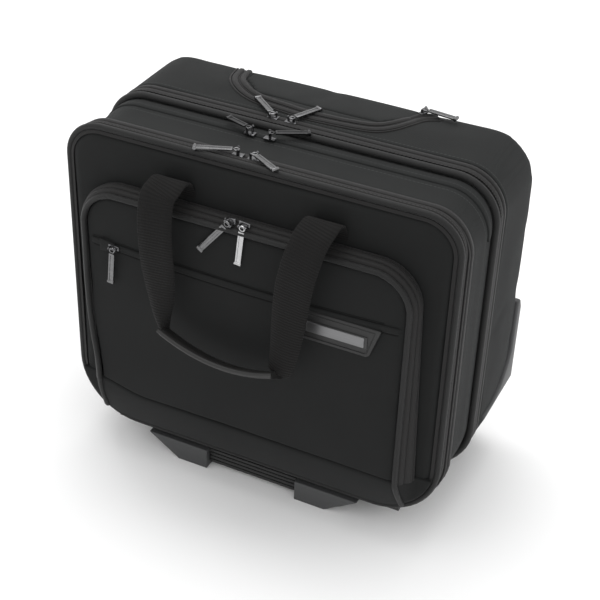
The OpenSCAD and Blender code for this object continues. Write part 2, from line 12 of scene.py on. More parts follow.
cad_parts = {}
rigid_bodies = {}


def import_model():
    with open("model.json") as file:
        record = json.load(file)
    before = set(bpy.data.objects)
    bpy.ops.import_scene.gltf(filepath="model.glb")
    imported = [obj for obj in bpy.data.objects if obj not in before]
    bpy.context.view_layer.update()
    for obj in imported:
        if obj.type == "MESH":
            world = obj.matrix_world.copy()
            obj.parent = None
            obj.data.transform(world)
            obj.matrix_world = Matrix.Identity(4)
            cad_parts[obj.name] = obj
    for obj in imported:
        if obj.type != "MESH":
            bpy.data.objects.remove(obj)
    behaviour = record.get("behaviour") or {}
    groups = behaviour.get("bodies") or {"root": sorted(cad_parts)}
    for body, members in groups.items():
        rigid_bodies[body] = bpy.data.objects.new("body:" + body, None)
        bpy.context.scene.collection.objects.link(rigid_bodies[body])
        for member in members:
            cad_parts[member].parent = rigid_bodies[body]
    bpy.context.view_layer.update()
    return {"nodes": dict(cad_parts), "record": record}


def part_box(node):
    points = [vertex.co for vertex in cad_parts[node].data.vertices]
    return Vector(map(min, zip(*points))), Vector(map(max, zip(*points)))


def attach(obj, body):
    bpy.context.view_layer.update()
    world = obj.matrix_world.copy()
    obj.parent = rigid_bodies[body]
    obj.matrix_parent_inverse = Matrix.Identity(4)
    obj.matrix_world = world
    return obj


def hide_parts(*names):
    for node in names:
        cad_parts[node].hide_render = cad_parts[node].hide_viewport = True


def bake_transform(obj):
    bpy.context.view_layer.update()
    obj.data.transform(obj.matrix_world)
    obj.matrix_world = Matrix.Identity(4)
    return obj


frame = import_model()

# %% [markdown]
# Lengths are easiest to read in millimetres from the bag's own corner: x across, y back from the
# front panel, z up from the floor. One helper turns them into the frame's metres, and the sizes of
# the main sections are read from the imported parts.

# %% Sizes from the frame
MM = 0.001
FRONT_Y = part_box("front_shell")[0][1]


def span(node):
    """Box of a node in bag millimetres: (x0, y0, z0), (x1, y1, z1)."""
    low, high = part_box(node)
    return [Vector((c[0] / MM, (c[1] - FRONT_Y) / MM, c[2] / MM)) for c in (low, high)]


def at(x, y, z):
    """Bag millimetres to frame metres."""
    return Vector((x * MM, FRONT_Y + y * MM, z * MM))


rear_lo, rear_hi = span("rear_shell")
mid_hi = span("middle_shell")[1]
lid_lo, lid_hi = span("front_shell")
band_lo = span("rear_zip_tape")[0]
front_band_lo, front_band_hi = span("front_zip_tape")
pocket_lo, pocket_hi = span("pocket_shell")
BASE = rear_lo.z
print("rear", rear_lo, rear_hi, "lid", lid_lo, lid_hi, "pocket", pocket_lo, pocket_hi)

# %% [markdown]
# A few tools keep each step short. Before any operator runs, everything is deselected, because
# the frame's parts arrive selected. A finished piece has its place in its mesh, so the transform is
# applied, and normals are turned outwards after doubles are merged.

# %% Small helpers


def only(*objects):
    bpy.ops.object.select_all(action="DESELECT")
    for o in objects:
        o.select_set(True)
    bpy.context.view_layer.objects.active = objects[0]


def apply_place(o):
    only(o)
    bpy.ops.object.transform_apply(location=True, rotation=True, scale=True)


def edit(o, what, mode="VERT"):
    """Selects by a test on each vertex, edge or face centre, then goes into edit mode."""
    only(o)
    bpy.ops.object.mode_set(mode="EDIT")
    bpy.ops.mesh.select_mode(type=mode)
    bpy.ops.mesh.select_all(action="DESELECT")
    bpy.ops.object.mode_set(mode="OBJECT")
    mesh = o.data
    if mode == "VERT":
        for v in mesh.vertices:
            v.select = bool(what(v.co))
    elif mode == "EDGE":
        for d in mesh.edges:
            a, b = (mesh.vertices[i].co for i in d.vertices)
            d.select = bool(what(a, b))
    else:
        for p in mesh.polygons:
            p.select = bool(what(p.center, p.normal))
    bpy.ops.object.mode_set(mode="EDIT")


def done():
    bpy.ops.object.mode_set(mode="OBJECT")


MERGE = 0.00002


def outward(o):
    edit(o, lambda co: True)
    bpy.ops.mesh.remove_doubles(threshold=MERGE)
    bpy.ops.mesh.normals_make_consistent(inside=False)
    done()


def smooth(o, angle=40):
    only(o)
    bpy.ops.object.shade_smooth_by_angle(angle=math.radians(angle))


def apply_modifier(o, kind, **settings):
    only(o)
    m = o.modifiers.new(kind.title(), kind)
    for key, value in settings.items():
        setattr(m, key, value)
    bpy.ops.object.modifier_apply(modifier=m.name)


def box(place, size):
    """A box of the given size, both in metres."""
    bpy.ops.object.select_all(action="DESELECT")
    bpy.ops.mesh.primitive_cube_add(size=1, location=place)
    o = bpy.context.object
    o.scale = size
    apply_place(o)
    return o


def cylinder(place, radius, length, along, vertices):
    """A cylinder in metres, lying along X or Y."""
    turn = (0, math.pi / 2, 0) if along == "X" else (math.pi / 2, 0, 0)
    bpy.ops.object.select_all(action="DESELECT")
    bpy.ops.mesh.primitive_cylinder_add(vertices=vertices, radius=radius, depth=length,
                                        location=place, rotation=turn)
    o = bpy.context.object
    apply_place(o)
    return o


def soften(o, width, segments):
    """Rounds every edge by width, in millimetres."""
    edit(o, lambda co: True)
    bpy.ops.mesh.bevel(offset=width * MM, segments=segments, affect="EDGES")
    done()


def prism(points, travel, bevel, segments=3):
    """Pushes a flat outline along travel, all in metres, and rounds its edges."""
    mesh = bpy.data.meshes.new("prism")
    mesh.from_pydata(points, [], [tuple(range(len(points)))])
    o = bpy.data.objects.new("prism", mesh)
    bpy.context.collection.objects.link(o)
    edit(o, lambda c, n: True, "FACE")
    bpy.ops.mesh.extrude_region_move(TRANSFORM_OT_translate={"value": travel})
    done()
    outward(o)
    soften(o, bevel, segments)
    return o


def join(pieces, name):
    only(*pieces)
    if len(pieces) > 1:
        bpy.ops.object.join()
    o = bpy.context.object
    o.name = name
    o.data.name = name
    return o


def finish_piece(o, name, body, material, slot, *nodes, second=None):
    o.name = name
    o.data.name = name
    o.data.materials.clear()
    o.data.materials.append(material)
    if second is not None:
        o.data.materials.append(second)
    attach(o, body)
    if nodes:
        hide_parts(*nodes)
    print(name, "rides on", body, "with", len(o.data.polygons), "faces")
    return o


# %% [markdown]
# Every colour here is a near-black, so the finishes differ in weave, sheen and bump and not in hue.
# One woven recipe, used at several scales, makes the cloths and the tapes: two crossed waves for
# the threads, a slow noise for uneven dye and a fast one for fuzz. Stitching is drawn in the same
# material, as short raised dashes at fixed depths from the front.

# %% Node helpers


def new_material(name):
    m = bpy.data.materials.new(name)
    m.use_nodes = True
    tree = m.node_tree
    return m, tree, tree.nodes["Principled BSDF"]


def node(tree, kind, **settings):
    n = tree.nodes.new(kind)
    for key, value in settings.items():
        if key in n.inputs:
            n.inputs[key].default_value = value
        else:
            setattr(n, key, value)
    return n


def math_node(tree, operation, a, b=None, c=None):
    n = tree.nodes.new("ShaderNodeMath")
    n.operation = operation
    for socket, value in zip(n.inputs, (a, b, c)):
        if value is None:
            continue
        if isinstance(value, (int, float)):
            socket.default_value = value
        else:
            tree.links.new(value, socket)
    return n.outputs[0]


def object_axes(tree):
    place = node(tree, "ShaderNodeTexCoord").outputs["Object"]
    split = node(tree, "ShaderNodeSeparateXYZ")
    tree.links.new(place, split.inputs[0])
    return place, split.outputs


def ridge(tree, value, centre, width):
    """1 on a line where value is near centre, falling to 0 at width away, in metres."""
    off = math_node(tree, "ABSOLUTE", math_node(tree, "SUBTRACT", value, centre))
    return math_node(tree, "SUBTRACT", 1.0, math_node(tree, "MINIMUM", math_node(
        tree, "DIVIDE", off, width), 1.0))


def threads(tree, axes, pitch):
    """Height of a plain weave whose threads are pitch apart, seen on any face of a box shape."""
    waves = []
    for axis in axes:
        turns = math_node(tree, "MULTIPLY", axis, 2 * math.pi / pitch)
        waves.append(math_node(tree, "SINE", turns))
    xy = math_node(tree, "MULTIPLY", waves[0], waves[2])
    yz = math_node(tree, "MULTIPLY", waves[1], waves[2])
    xz = math_node(tree, "MULTIPLY", waves[0], waves[1])
    geometry = node(tree, "ShaderNodeNewGeometry")
    facing = node(tree, "ShaderNodeSeparateXYZ")
    tree.links.new(geometry.outputs["Normal"], facing.inputs[0])
    size = [math_node(tree, "ABSOLUTE", facing.outputs[i]) for i in range(3)]
    total = math_node(tree, "MULTIPLY", size[1], xy)
    total = math_node(tree, "MULTIPLY_ADD", size[0], yz, total)
    return math_node(tree, "MULTIPLY_ADD", size[2], xz, total)


def noise_at(tree, place, scale, detail=3.0):
    n = node(tree, "ShaderNodeTexNoise", Scale=scale, Detail=detail, Roughness=0.55)
    tree.links.new(place, n.inputs["Vector"])
    return n.outputs["Fac"]


def ramp_colour(tree, factor, dark, light):
    mix = tree.nodes.new("ShaderNodeMix")
    mix.data_type = "RGBA"
    mix.inputs[6].default_value = (*dark, 1)
    mix.inputs[7].default_value = (*light, 1)
    tree.links.new(factor, mix.inputs[0])
    return mix.outputs[2]


def bump(tree, shader, height, strength, distance):
    b = node(tree, "ShaderNodeBump", Strength=strength, Distance=distance)
    tree.links.new(height, b.inputs["Height"])
    tree.links.new(b.outputs["Normal"], shader.inputs["Normal"])


STITCH = 0.0042
SHEEN_TINT = (0.6, 0.6, 0.62, 1)


def cloth(name, dark, light, pitch, weave=0.35, roughness=0.85, sheen=0.05, stitch_rows=(),
          fuzz=0.25):
    """Woven cloth; stitch_rows are depths in bag millimetres where a row of stitches runs."""
    m, tree, shader = new_material(name)
    place, axes = object_axes(tree)
    weave_height = threads(tree, axes, pitch)
    slow = noise_at(tree, place, 9.0)
    fast = noise_at(tree, place, 900.0, 2.0)
    tone = math_node(tree, "MULTIPLY_ADD", weave_height, 0.22, slow)
    colour = ramp_colour(tree, tone, dark, light)
    height = math_node(tree, "MULTIPLY", weave_height, weave)
    height = math_node(tree, "MULTIPLY_ADD", fast, fuzz, height)
    if stitch_rows:
        run = math_node(tree, "SUBTRACT", math_node(tree, "ABSOLUTE", axes[0]), axes[2])
        phase = math_node(tree, "FRACT", math_node(tree, "DIVIDE", run, STITCH))
        on = math_node(tree, "LESS_THAN", phase, 0.62)
        rows = None
        for row in stitch_rows:
            line = ridge(tree, axes[1], FRONT_Y + row * MM, 0.0007)
            rows = line if rows is None else math_node(tree, "MAXIMUM", rows, line)
        thread = math_node(tree, "MULTIPLY", rows, on)
        height = math_node(tree, "MULTIPLY_ADD", thread, 3.0, height)
        mix = tree.nodes.new("ShaderNodeMix")
        mix.data_type = "RGBA"
        tree.links.new(thread, mix.inputs[0])
        tree.links.new(colour, mix.inputs[6])
        mix.inputs[7].default_value = (*[c * 2.4 for c in light], 1)
        colour = mix.outputs[2]
    tree.links.new(colour, shader.inputs["Base Color"])
    shader.inputs["Roughness"].default_value = roughness
    shader.inputs["Specular IOR Level"].default_value = 0.22
    shader.inputs["Sheen Weight"].default_value = sheen
    shader.inputs["Sheen Roughness"].default_value = 0.45
    shader.inputs["Sheen Tint"].default_value = SHEEN_TINT
    bump(tree, shader, height, 0.5, 0.0004)
    return m


# %% Fabric, tape, cord and webbing finishes
panel_cloth = cloth("panel_cloth", (0.0062, 0.0066, 0.0066), (0.0118, 0.0123, 0.0121), 0.0009)
body_cloth = cloth("body_cloth", (0.0085, 0.0092, 0.0092), (0.0175, 0.0186, 0.0182), 0.0018,
                   weave=0.9, stitch_rows=(117.0,))
gusset_cloth = cloth("gusset_cloth", (0.0085, 0.0092, 0.0092), (0.0172, 0.0183, 0.0179), 0.0014,
                     weave=0.6, stitch_rows=(34.5, 64.5, 76.5))
tape_cloth = cloth("tape_cloth", (0.0085, 0.0081, 0.0080), (0.0155, 0.0149, 0.0146), 0.0008,
                   roughness=0.6, sheen=0.1, stitch_rows=(12.4, 28.6, 97.0, 111.0))
cord_cover = cloth("cord_cover", (0.009, 0.009, 0.009), (0.015, 0.015, 0.0148), 0.0007,
                   roughness=0.5, sheen=0.08, fuzz=0.15)
# Painted shade: a near-black cloth for the strips that stand in for the shadow inside the slot
# pocket's slits.
slit_shade_cloth = cloth("slit_shade_cloth", (0.0015, 0.0015, 0.0015), (0.003, 0.003, 0.003), 0.0009,
                   sheen=0.0)
lining_cloth = cloth("lining_cloth", (0.03, 0.031, 0.034), (0.05, 0.051, 0.055), 0.0011,
                     roughness=0.7)

# %% [markdown]
# Webbing is woven much thicker than cloth: each pick shows as a rib straight across the strap.
# The ribs must follow the strap and not the world, so they read the strap's own UV map, where U
# runs along it in metres.

# %% Webbing and wrap


def webbing_material(name, dark, light):
    m, tree, shader = new_material(name)
    place, axes = object_axes(tree)
    uv = node(tree, "ShaderNodeUVMap", uv_map="UVMap").outputs[0]
    split = node(tree, "ShaderNodeSeparateXYZ")
    tree.links.new(uv, split.inputs[0])
    along = math_node(tree, "MULTIPLY", split.outputs[0], 2 * math.pi / 0.0030)
    across = math_node(tree, "MULTIPLY", split.outputs[1], 2 * math.pi / 0.0016)
    rib = math_node(tree, "SINE", along)
    cross = math_node(tree, "SINE", across)
    height = math_node(tree, "MULTIPLY_ADD", cross, 0.35, rib)
    slow = noise_at(tree, place, 14.0)
    tone = math_node(tree, "MULTIPLY_ADD", height, 0.2, slow)
    tree.links.new(ramp_colour(tree, tone, dark, light), shader.inputs["Base Color"])
    shader.inputs["Roughness"].default_value = 0.8
    shader.inputs["Specular IOR Level"].default_value = 0.2
    shader.inputs["Sheen Weight"].default_value = 0.03
    bump(tree, shader, height, 0.45, 0.0005)
    return m


def leather(name, dark, light, grain, roughness):
    m, tree, shader = new_material(name)
    place, axes = object_axes(tree)
    cells = node(tree, "ShaderNodeTexVoronoi", Scale=grain, feature="DISTANCE_TO_EDGE")
    tree.links.new(place, cells.inputs["Vector"])
    slow = noise_at(tree, place, 25.0)
    tree.links.new(ramp_colour(tree, slow, dark, light), shader.inputs["Base Color"])
    uneven = math_node(tree, "MULTIPLY_ADD", slow, 0.2, roughness - 0.1)
    tree.links.new(uneven, shader.inputs["Roughness"])
    bump(tree, shader, cells.outputs["Distance"], 0.3, 0.0003)
    return m


strap_webbing = webbing_material("strap_webbing", (0.0030, 0.0028, 0.0027),
                                 (0.0064, 0.0060, 0.0058))
grip_leather = leather("grip_leather", (0.006, 0.0058, 0.0056), (0.011, 0.0105, 0.010), 700, 0.5)
patch_leather = leather("patch_leather", (0.007, 0.007, 0.007), (0.012, 0.012, 0.012), 1400, 0.55)

# %% [markdown]
# Moulded plastic has a fine spark-eroded grain. Metals get their life from uneven roughness: faint
# brushing on the tubes and name plate, small mottling on the zip pullers.

# %% Plastic, rubber and metal


def moulded(name, dark, light, roughness, grain=1600, strength=0.25):
    m, tree, shader = new_material(name)
    place, axes = object_axes(tree)
    slow = noise_at(tree, place, 12.0)
    tree.links.new(ramp_colour(tree, slow, dark, light), shader.inputs["Base Color"])
    speck = noise_at(tree, place, grain, 2.0)
    uneven = math_node(tree, "MULTIPLY_ADD", slow, 0.15, roughness - 0.07)
    tree.links.new(uneven, shader.inputs["Roughness"])
    bump(tree, shader, speck, strength, 0.0003)
    return m


def metal(name, dark, light, roughness, brushed=(1.0, 1.0, 1.0), scale=60.0):
    m, tree, shader = new_material(name)
    place, axes = object_axes(tree)
    stretch = node(tree, "ShaderNodeMapping")
    stretch.inputs["Scale"].default_value = brushed
    tree.links.new(place, stretch.inputs["Vector"])
    marks = noise_at(tree, stretch.outputs[0], scale, 4.0)
    tree.links.new(ramp_colour(tree, marks, dark, light), shader.inputs["Base Color"])
    uneven = math_node(tree, "MULTIPLY_ADD", marks, 0.25, roughness - 0.12)
    tree.links.new(uneven, shader.inputs["Roughness"])
    shader.inputs["Metallic"].default_value = 1.0
    bump(tree, shader, marks, 0.08, 0.0002)
    return m


guard_plastic = moulded("guard_plastic", (0.035, 0.036, 0.037), (0.055, 0.056, 0.057), 0.5)
dark_plastic = moulded("dark_plastic", (0.012, 0.012, 0.012), (0.022, 0.022, 0.022), 0.45)
bar_rubber = moulded("bar_rubber", (0.008, 0.008, 0.008), (0.016, 0.016, 0.016), 0.6, 900)
tyre_rubber = moulded("tyre_rubber", (0.010, 0.010, 0.010), (0.02, 0.02, 0.02), 0.7, 700, 0.4)
tube_metal = metal("tube_metal", (0.28, 0.285, 0.29), (0.42, 0.425, 0.43), 0.32, (30, 30, 1))
gunmetal = metal("gunmetal", (0.10, 0.10, 0.105), (0.20, 0.20, 0.205), 0.3, scale=220)
puller_metal = metal("puller_metal", (0.10, 0.10, 0.102), (0.24, 0.24, 0.243), 0.26,
                     scale=180)
black_metal = metal("black_metal", (0.03, 0.03, 0.031), (0.08, 0.08, 0.082), 0.3,
                    scale=180)
# Painted highlight: a lighter copy of the puller metal, for the one puller that catches more light.
lit_puller_metal = metal("lit_puller_metal", (0.34, 0.34, 0.345), (0.6, 0.6, 0.605), 0.24, scale=180)
plate_metal = metal("plate_metal", (0.16, 0.16, 0.163), (0.24, 0.24, 0.243), 0.42, (1, 40, 40), 30)
print("materials", len(bpy.data.materials))

# %% [markdown]
# The sections share one outline, a rectangle with two bigger and two smaller round corners. A plane
# is added, sized, and its corners are bevelled as vertices. As a curve, the same outline carries a
# cross-section round the bag, which is how cord piping, zip bands and the gusset are made: the real
# ones are strips sewn round the panels in just this way.

# %% Outline and strip tools


def outline_plane(hw, zb, zt, rb, rt, segments=12):
    """A face in the XY plane, to be stood up later, with its corners rounded."""
    only(*bpy.context.scene.objects[:1])
    bpy.ops.object.select_all(action="DESELECT")
    bpy.ops.mesh.primitive_plane_add(size=1, location=(0, (zt + zb) / 2 * MM, 0))
    o = bpy.context.object
    o.scale = (2 * hw * MM, (zt - zb) * MM, 1)
    apply_place(o)
    for z, r in ((zt, rt), (zb, rb)):
        corner = (hw * MM, z * MM)
        edit(o, lambda co: abs(abs(co.x) - corner[0]) < 1e-6 and abs(co.y - corner[1]) < 1e-6)
        bpy.ops.mesh.bevel(offset=r * MM, segments=segments, affect="VERTICES")
        done()
    return o


def profile_curve(points):
    """Cross-section: (outward, back) pairs in millimetres."""
    data = bpy.data.curves.new("profile", "CURVE")
    data.dimensions = "2D"
    line = data.splines.new("POLY")
    line.points.add(len(points) - 1)
    for p, (out, back) in zip(line.points, points):
        p.co = (out * MM, -back * MM, 0, 1)
    line.use_cyclic_u = True
    o = bpy.data.objects.new("profile", data)
    bpy.context.collection.objects.link(o)
    return o


def circle_points(radius, steps):
    return [(radius * math.cos(2 * math.pi * k / steps),
             radius * math.sin(2 * math.pi * k / steps)) for k in range(steps)]


def strip_round(hw, zb, zt, rb, rt, points, y=0.0, open_below=None, segments=12, cx=0.0):
    """Sweeps a cross-section round an outline; open_below cuts the loop off under that height."""
    o = outline_plane(hw, zb, zt, rb, rt, segments)
    only(o)
    bpy.ops.object.convert(target="CURVE")
    path = bpy.context.object
    section = profile_curve(points)
    path.data.dimensions = "3D"
    path.data.twist_mode = "Z_UP"
    path.data.bevel_mode = "OBJECT"
    path.data.bevel_object = section
    bpy.ops.object.convert(target="MESH")
    strip = bpy.context.object
    bpy.data.objects.remove(section)
    strip.rotation_euler = (math.pi / 2, 0, 0)
    strip.location = at(cx, y, 0)
    apply_place(strip)
    if open_below is not None:
        cut_below(strip, open_below)
    outward(strip)
    smooth(strip, 50)
    return strip


def cut_below(o, z):
    edit(o, lambda co: True)
    bpy.ops.mesh.bisect(plane_co=(0, 0, z * MM), plane_no=(0, 0, 1), use_fill=True,
                        clear_inner=True)
    done()


# %% [markdown]
# A run of webbing, a zip tape or a cord that isn't round the outline follows its own path. The tool
# below walks a smooth curve through a few chosen points and sets a cross-section on it at each
# step, squared to the path. It also writes a UV map in real metres, so ribs and stitches keep
# their pitch round the bends.

# %% Sweep along a path


def smooth_path(points, steps=8):
    """Catmull-Rom curve through the given points."""
    out = []
    for i in range(len(points) - 1):
        p0 = points[max(i - 1, 0)]
        p1, p2 = points[i], points[i + 1]
        p3 = points[min(i + 2, len(points) - 1)]
        for k in range(steps):
            t = k / steps
            out.append(0.5 * ((2 * p1) + (p2 - p0) * t + (2 * p0 - 5 * p1 + 4 * p2 - p3) * t * t
                              + (3 * p1 - p0 - 3 * p2 + p3) * t ** 3))
    out.append(points[-1].copy())
    return out


def sweep(name, path, section, side):
    """Skins section(i, t) = [(across, out), ...] in metres along path.

    side gives the across direction near each point; out is square to it and to the path."""
    n = len(path)
    verts, rings, runs = [], [], [0.0]
    for a, b in zip(path, path[1:]):
        runs.append(runs[-1] + (b - a).length)
    for i, p in enumerate(path):
        t = (path[min(i + 1, n - 1)] - path[max(i - 1, 0)]).normalized()
        across = side(i, p, i / (n - 1))
        across = (across - t * across.dot(t)).normalized()
        out = across.cross(t).normalized()
        ring = section(i, i / (n - 1))
        rings.append([(u, len(ring)) for u, _ in ring])
        verts += [p + across * u + out * v for u, v in ring]
    m = len(rings[0])
    faces = [tuple(range(m))[::-1], tuple(range((n - 1) * m, n * m))]
    uvs = [[(0, 0)] * m, [(0, 0)] * m]
    for i in range(n - 1):
        for k in range(m):
            k2 = (k + 1) % m
            faces.append((i * m + k, i * m + k2, (i + 1) * m + k2, (i + 1) * m + k))
            uvs.append([(runs[i], rings[i][k][0]), (runs[i], rings[i][k2][0]),
                        (runs[i + 1], rings[i + 1][k2][0]), (runs[i + 1], rings[i + 1][k][0])])
    mesh = bpy.data.meshes.new(name)
    mesh.from_pydata(verts, [], faces)
    layer = mesh.uv_layers.new(name="UVMap")
    for poly, corners in zip(mesh.polygons, uvs):
        for loop, uv in zip(poly.loop_indices, corners):
            layer.data[loop].uv = uv
    o = bpy.data.objects.new(name, mesh)
    bpy.context.collection.objects.link(o)
    outward(o)
    smooth(o, 50)
    return o


def slab_section(w, t):
    """A webbing cross-section with softly rounded edges, in metres."""
    h, q = w / 2, t / 2
    return [(-h, 0), (-h + q, -q), (-h / 2, -q), (0, -q), (h / 2, -q), (h - q, -q), (h, 0),
            (h - q, q), (h / 2, q), (0, q), (-h / 2, q), (-h + q, q)]


# %% [markdown]
# Padded panels are modelled as they are made: a bag of cloth over foam. A closed form is remeshed
# into even quads, swollen by cloth pressure with gravity off, and the swelling is scaled so that the
# crown is only a few millimetres. The simulation puts soft shoulders and faint puckers where the
# corners pull, which a bevel can't do.

# %% Padding tool


SWELL_STEPS = 20
PRESSURE = 4.0


def puff(o, voxel, crown):
    """Remeshes and swells a closed form; crown is the most that a point may move, in mm."""
    apply_modifier(o, "REMESH", mode="VOXEL", voxel_size=voxel * MM)
    start = [v.co.copy() for v in o.data.vertices]
    only(o)
    m = o.modifiers.new("Cloth", "CLOTH")
    m.settings.quality = 4
    m.settings.mass = 0.3
    m.settings.tension_stiffness = 20
    m.settings.compression_stiffness = 20
    m.settings.shear_stiffness = 8
    m.settings.bending_stiffness = 2
    m.settings.use_pressure = True
    m.settings.uniform_pressure_force = PRESSURE
    m.settings.effector_weights.gravity = 0
    m.collision_settings.use_collision = False
    m.collision_settings.use_self_collision = False
    for f in range(1, SWELL_STEPS + 1):
        bpy.context.scene.frame_set(f)
    bpy.ops.object.modifier_apply(modifier=m.name)
    bpy.context.scene.frame_set(1)
    most = max((v.co - a).length for v, a in zip(o.data.vertices, start))
    share = min(1.0, crown * MM / most) if most > 0 else 0.0
    for v, a in zip(o.data.vertices, start):
        v.co = a + (v.co - a) * share
    print("  swelled by up to", round(most * 1000, 1), "mm, kept", round(share * most * 1000, 1))


def keep_side(o, y, keep_back):
    """Cuts a piece square across at depth y and keeps one side."""
    edit(o, lambda co: True)
    bpy.ops.mesh.bisect(plane_co=tuple(at(0, y, 0)), plane_no=(0, 1, 0), use_fill=False,
                        clear_inner=keep_back, clear_outer=not keep_back)
    done()


def block(hw, zb, zt, rb, rt, y0, y1, edge_front=0.0, edge_back=0.0, cx=0.0):
    """A solid block with a rounded outline and, if asked, rounded front or back edges."""
    o = outline_plane(hw, zb, zt, rb, rt)
    o.rotation_euler = (math.pi / 2, 0, 0)
    o.location = at(cx, y1, 0)
    apply_place(o)
    edit(o, lambda c, n: True, "FACE")
    bpy.ops.mesh.extrude_region_move(TRANSFORM_OT_translate={"value": (0, (y0 - y1) * MM, 0)})
    done()
    outward(o)
    for y, r in ((y0, edge_front), (y1, edge_back)):
        if r:
            depth = at(0, y, 0).y
            edit(o, lambda a, b: abs(a.y - depth) < 1e-6 and abs(b.y - depth) < 1e-6, "EDGE")
            bpy.ops.mesh.bevel(offset=r * MM, segments=4, affect="EDGES")
            done()
    return o


# %% [markdown]
# A full bag isn't square: its sides belly out at mid height. One smooth rule moves the points of
# every piece of the middle section, so that strips that meet keep meeting.

# %% Belly rule


def ease(t):
    t = max(0.0, min(1.0, t))
    return t * t * (3 - 2 * t)


def warp(o, rule):
    """Moves every vertex by rule(x, y, z) -> (dx, dy, dz), all in bag millimetres."""
    for v in o.data.vertices:
        x, y, z = v.co.x / MM, (v.co.y - FRONT_Y) / MM, v.co.z / MM
        v.co += Vector(rule(x, y, z)) * MM
    o.data.update()


def belly(x, y, z):
    high = ease((z - 50) / 80) * ease((mid_hi.z - 8 - z) / 70)
    deep = ease((y - 4) / 26) * (1 - ease((y - 62) / 26))
    side = ease((abs(x) - 130) / 70)
    return math.copysign(4.5 * high * deep * side, x), 0, 0


# %% [markdown]
# ## Rear compartment
# The deep rear compartment is one padded tray. It is swollen as a closed block, then its front is
# cut away and the skin is given its thickness with the lining inside. The flap over the pull
# handle is cut out of the same skin, so that the two surfaces run on into each other.

# %% Rear body
REAR_R, REAR_BOTTOM_R = 45, 60
rear_body = block(rear_hi.x - 0.5, rear_lo.z, rear_hi.z - 0.5, REAR_BOTTOM_R, REAR_R,
                  rear_lo.y - 12, rear_hi.y - 0.5, 0, 7)
puff(rear_body, 5.5, 6.5)


def rear_fullness(x, y, z):
    back_side = ease((y - 120) / 60) * ease((abs(x) - 120) / 90)
    wide = 2.5 * back_side * ease((z - 80) / 90) * ease((rear_hi.z - z) / 90)
    crown = 2.2 * ease((y - 118) / 40) * ease((z - 340) / 45) * (1 - (x / 216) ** 2)
    return math.copysign(wide, x), 0, crown


warp(rear_body, rear_fullness)
keep_side(rear_body, rear_lo.y - 0.4, True)
guard_lo, guard_hi = span("wheel_housings")
flap_lo, flap_hi = span("handle_flap")
wheel_lo, wheel_hi = span("tyre_right")


def inside_guard(c):
    x, y, z = abs(c.x) / MM, (c.y - FRONT_Y) / MM, c.z / MM
    edge = 87 if y < 150 else 87 + (y - 150) * 0.75
    return x > wheel_lo.x - 3 and y > guard_lo.y + 5 and z < edge


def inside_flap(c):
    x, y, z = c.x / MM, (c.y - FRONT_Y) / MM, c.z / MM
    round_left = flap_lo.x + 30 * max(0.0, 1 - (y - flap_lo.y) / 30) ** 1.6
    round_right = flap_hi.x - 30 * max(0.0, 1 - (y - flap_lo.y) / 30) ** 1.6
    return z > rear_hi.z - 9 and flap_lo.y < y < flap_hi.y and round_left < x < round_right


edit(rear_body, lambda c, n: inside_guard(c), "FACE")
bpy.ops.mesh.delete(type="FACE")
done()
edit(rear_body, lambda c, n: inside_flap(c), "FACE")
bpy.ops.mesh.separate(type="SELECTED")
done()
flap_panel = [o for o in bpy.context.selected_objects if o != rear_body][0]
for skin, name, body, nodes in ((rear_body, "rear_body", "case", ["rear_shell"]),
                                (flap_panel, "flap_panel", "handle_flap", ["handle_flap"])):
    apply_modifier(skin, "SOLIDIFY", thickness=3.0 * MM, offset=-1.0, material_offset=1,
                   material_offset_rim=0)
    apply_modifier(skin, "SUBSURF", levels=1, render_levels=1)
    smooth(skin, 60)
    finish_piece(skin, name, body, body_cloth, "body_fabric", *nodes, second=lining_cloth)

# %% [markdown]
# ## Zip bands and piping
# A zip on a soft bag is hidden between two folds of tape. Seen in section, each band is a ridge, a
# narrow slit and a second ridge, next to the fat cord that stiffens the seam. The section is drawn
# once and swept round each body.

# %% Band sections


def zip_band(y0, y_zip, y1, rise=3.0):
    """Cross-section of a covered zip between depths y0 and y1 with its slit at y_zip."""
    return [(-3.5, y0), (rise * 0.86, y0), (rise, y0 + 0.8), (rise, y_zip - 1.4),
            (rise * 0.7, y_zip - 0.6), (-1.4, y_zip - 0.3), (-1.4, y_zip + 0.3),
            (rise * 0.7, y_zip + 0.6), (rise, y_zip + 1.8), (rise * 1.05, y_zip + 4.5),
            (rise * 0.95, y_zip + 6.6), (rise * 0.7, y_zip + 7.6), (0.2, y_zip + 7.9),
            (0.2, y_zip + 8.3), (rise * 0.5, y_zip + 8.8), (rise * 0.45, y1 - 0.8),
            (-0.6, y1), (-3.5, y1)]


front_hw, front_top = lid_hi.x, lid_hi.z
FRONT_R, FRONT_BOTTOM_R, MID_R = 35, 64, 41
LID_BASE = lid_lo.z
front_zip = strip_round(front_band_hi.x - 3.4, front_band_lo.z + 2, front_band_hi.z - 2.2,
                        FRONT_BOTTOM_R - 4, FRONT_R + 2,
                        zip_band(front_band_lo.y, 20.4, 31.2, 3.2))
warp(front_zip, belly)
finish_piece(front_zip, "front_zip_band", "middle_section", tape_cloth, "zip_tape",
             "front_zip_tape")
rear_zip = strip_round(mid_hi.x + 2.2, BASE, mid_hi.z + 2.8, REAR_BOTTOM_R, MID_R + 1,
                       zip_band(band_lo.y - 2.5, 104.6, rear_lo.y + 1.5, 3.4))
finish_piece(rear_zip, "rear_zip_band", "case", tape_cloth, "zip_tape", "rear_zip_tape")
front_cord = strip_round(front_hw + 3.2, LID_BASE - 3.2, front_top + 3.2, FRONT_BOTTOM_R + 3.2,
                         FRONT_R + 3.2, circle_points(3.3, 14), y=5.6)
finish_piece(front_cord, "front_cord", "front_lid", cord_cover, "piping", "front_piping")
rear_cord = strip_round(mid_hi.x + 2.8, BASE - 1, mid_hi.z + 3.2, REAR_BOTTOM_R + 3, MID_R + 3,
                        circle_points(4.0, 14), y=91, open_below=BASE + 6)
warp(rear_cord, belly)
finish_piece(rear_cord, "rear_cord", "middle_section", cord_cover, "piping", "rear_piping")
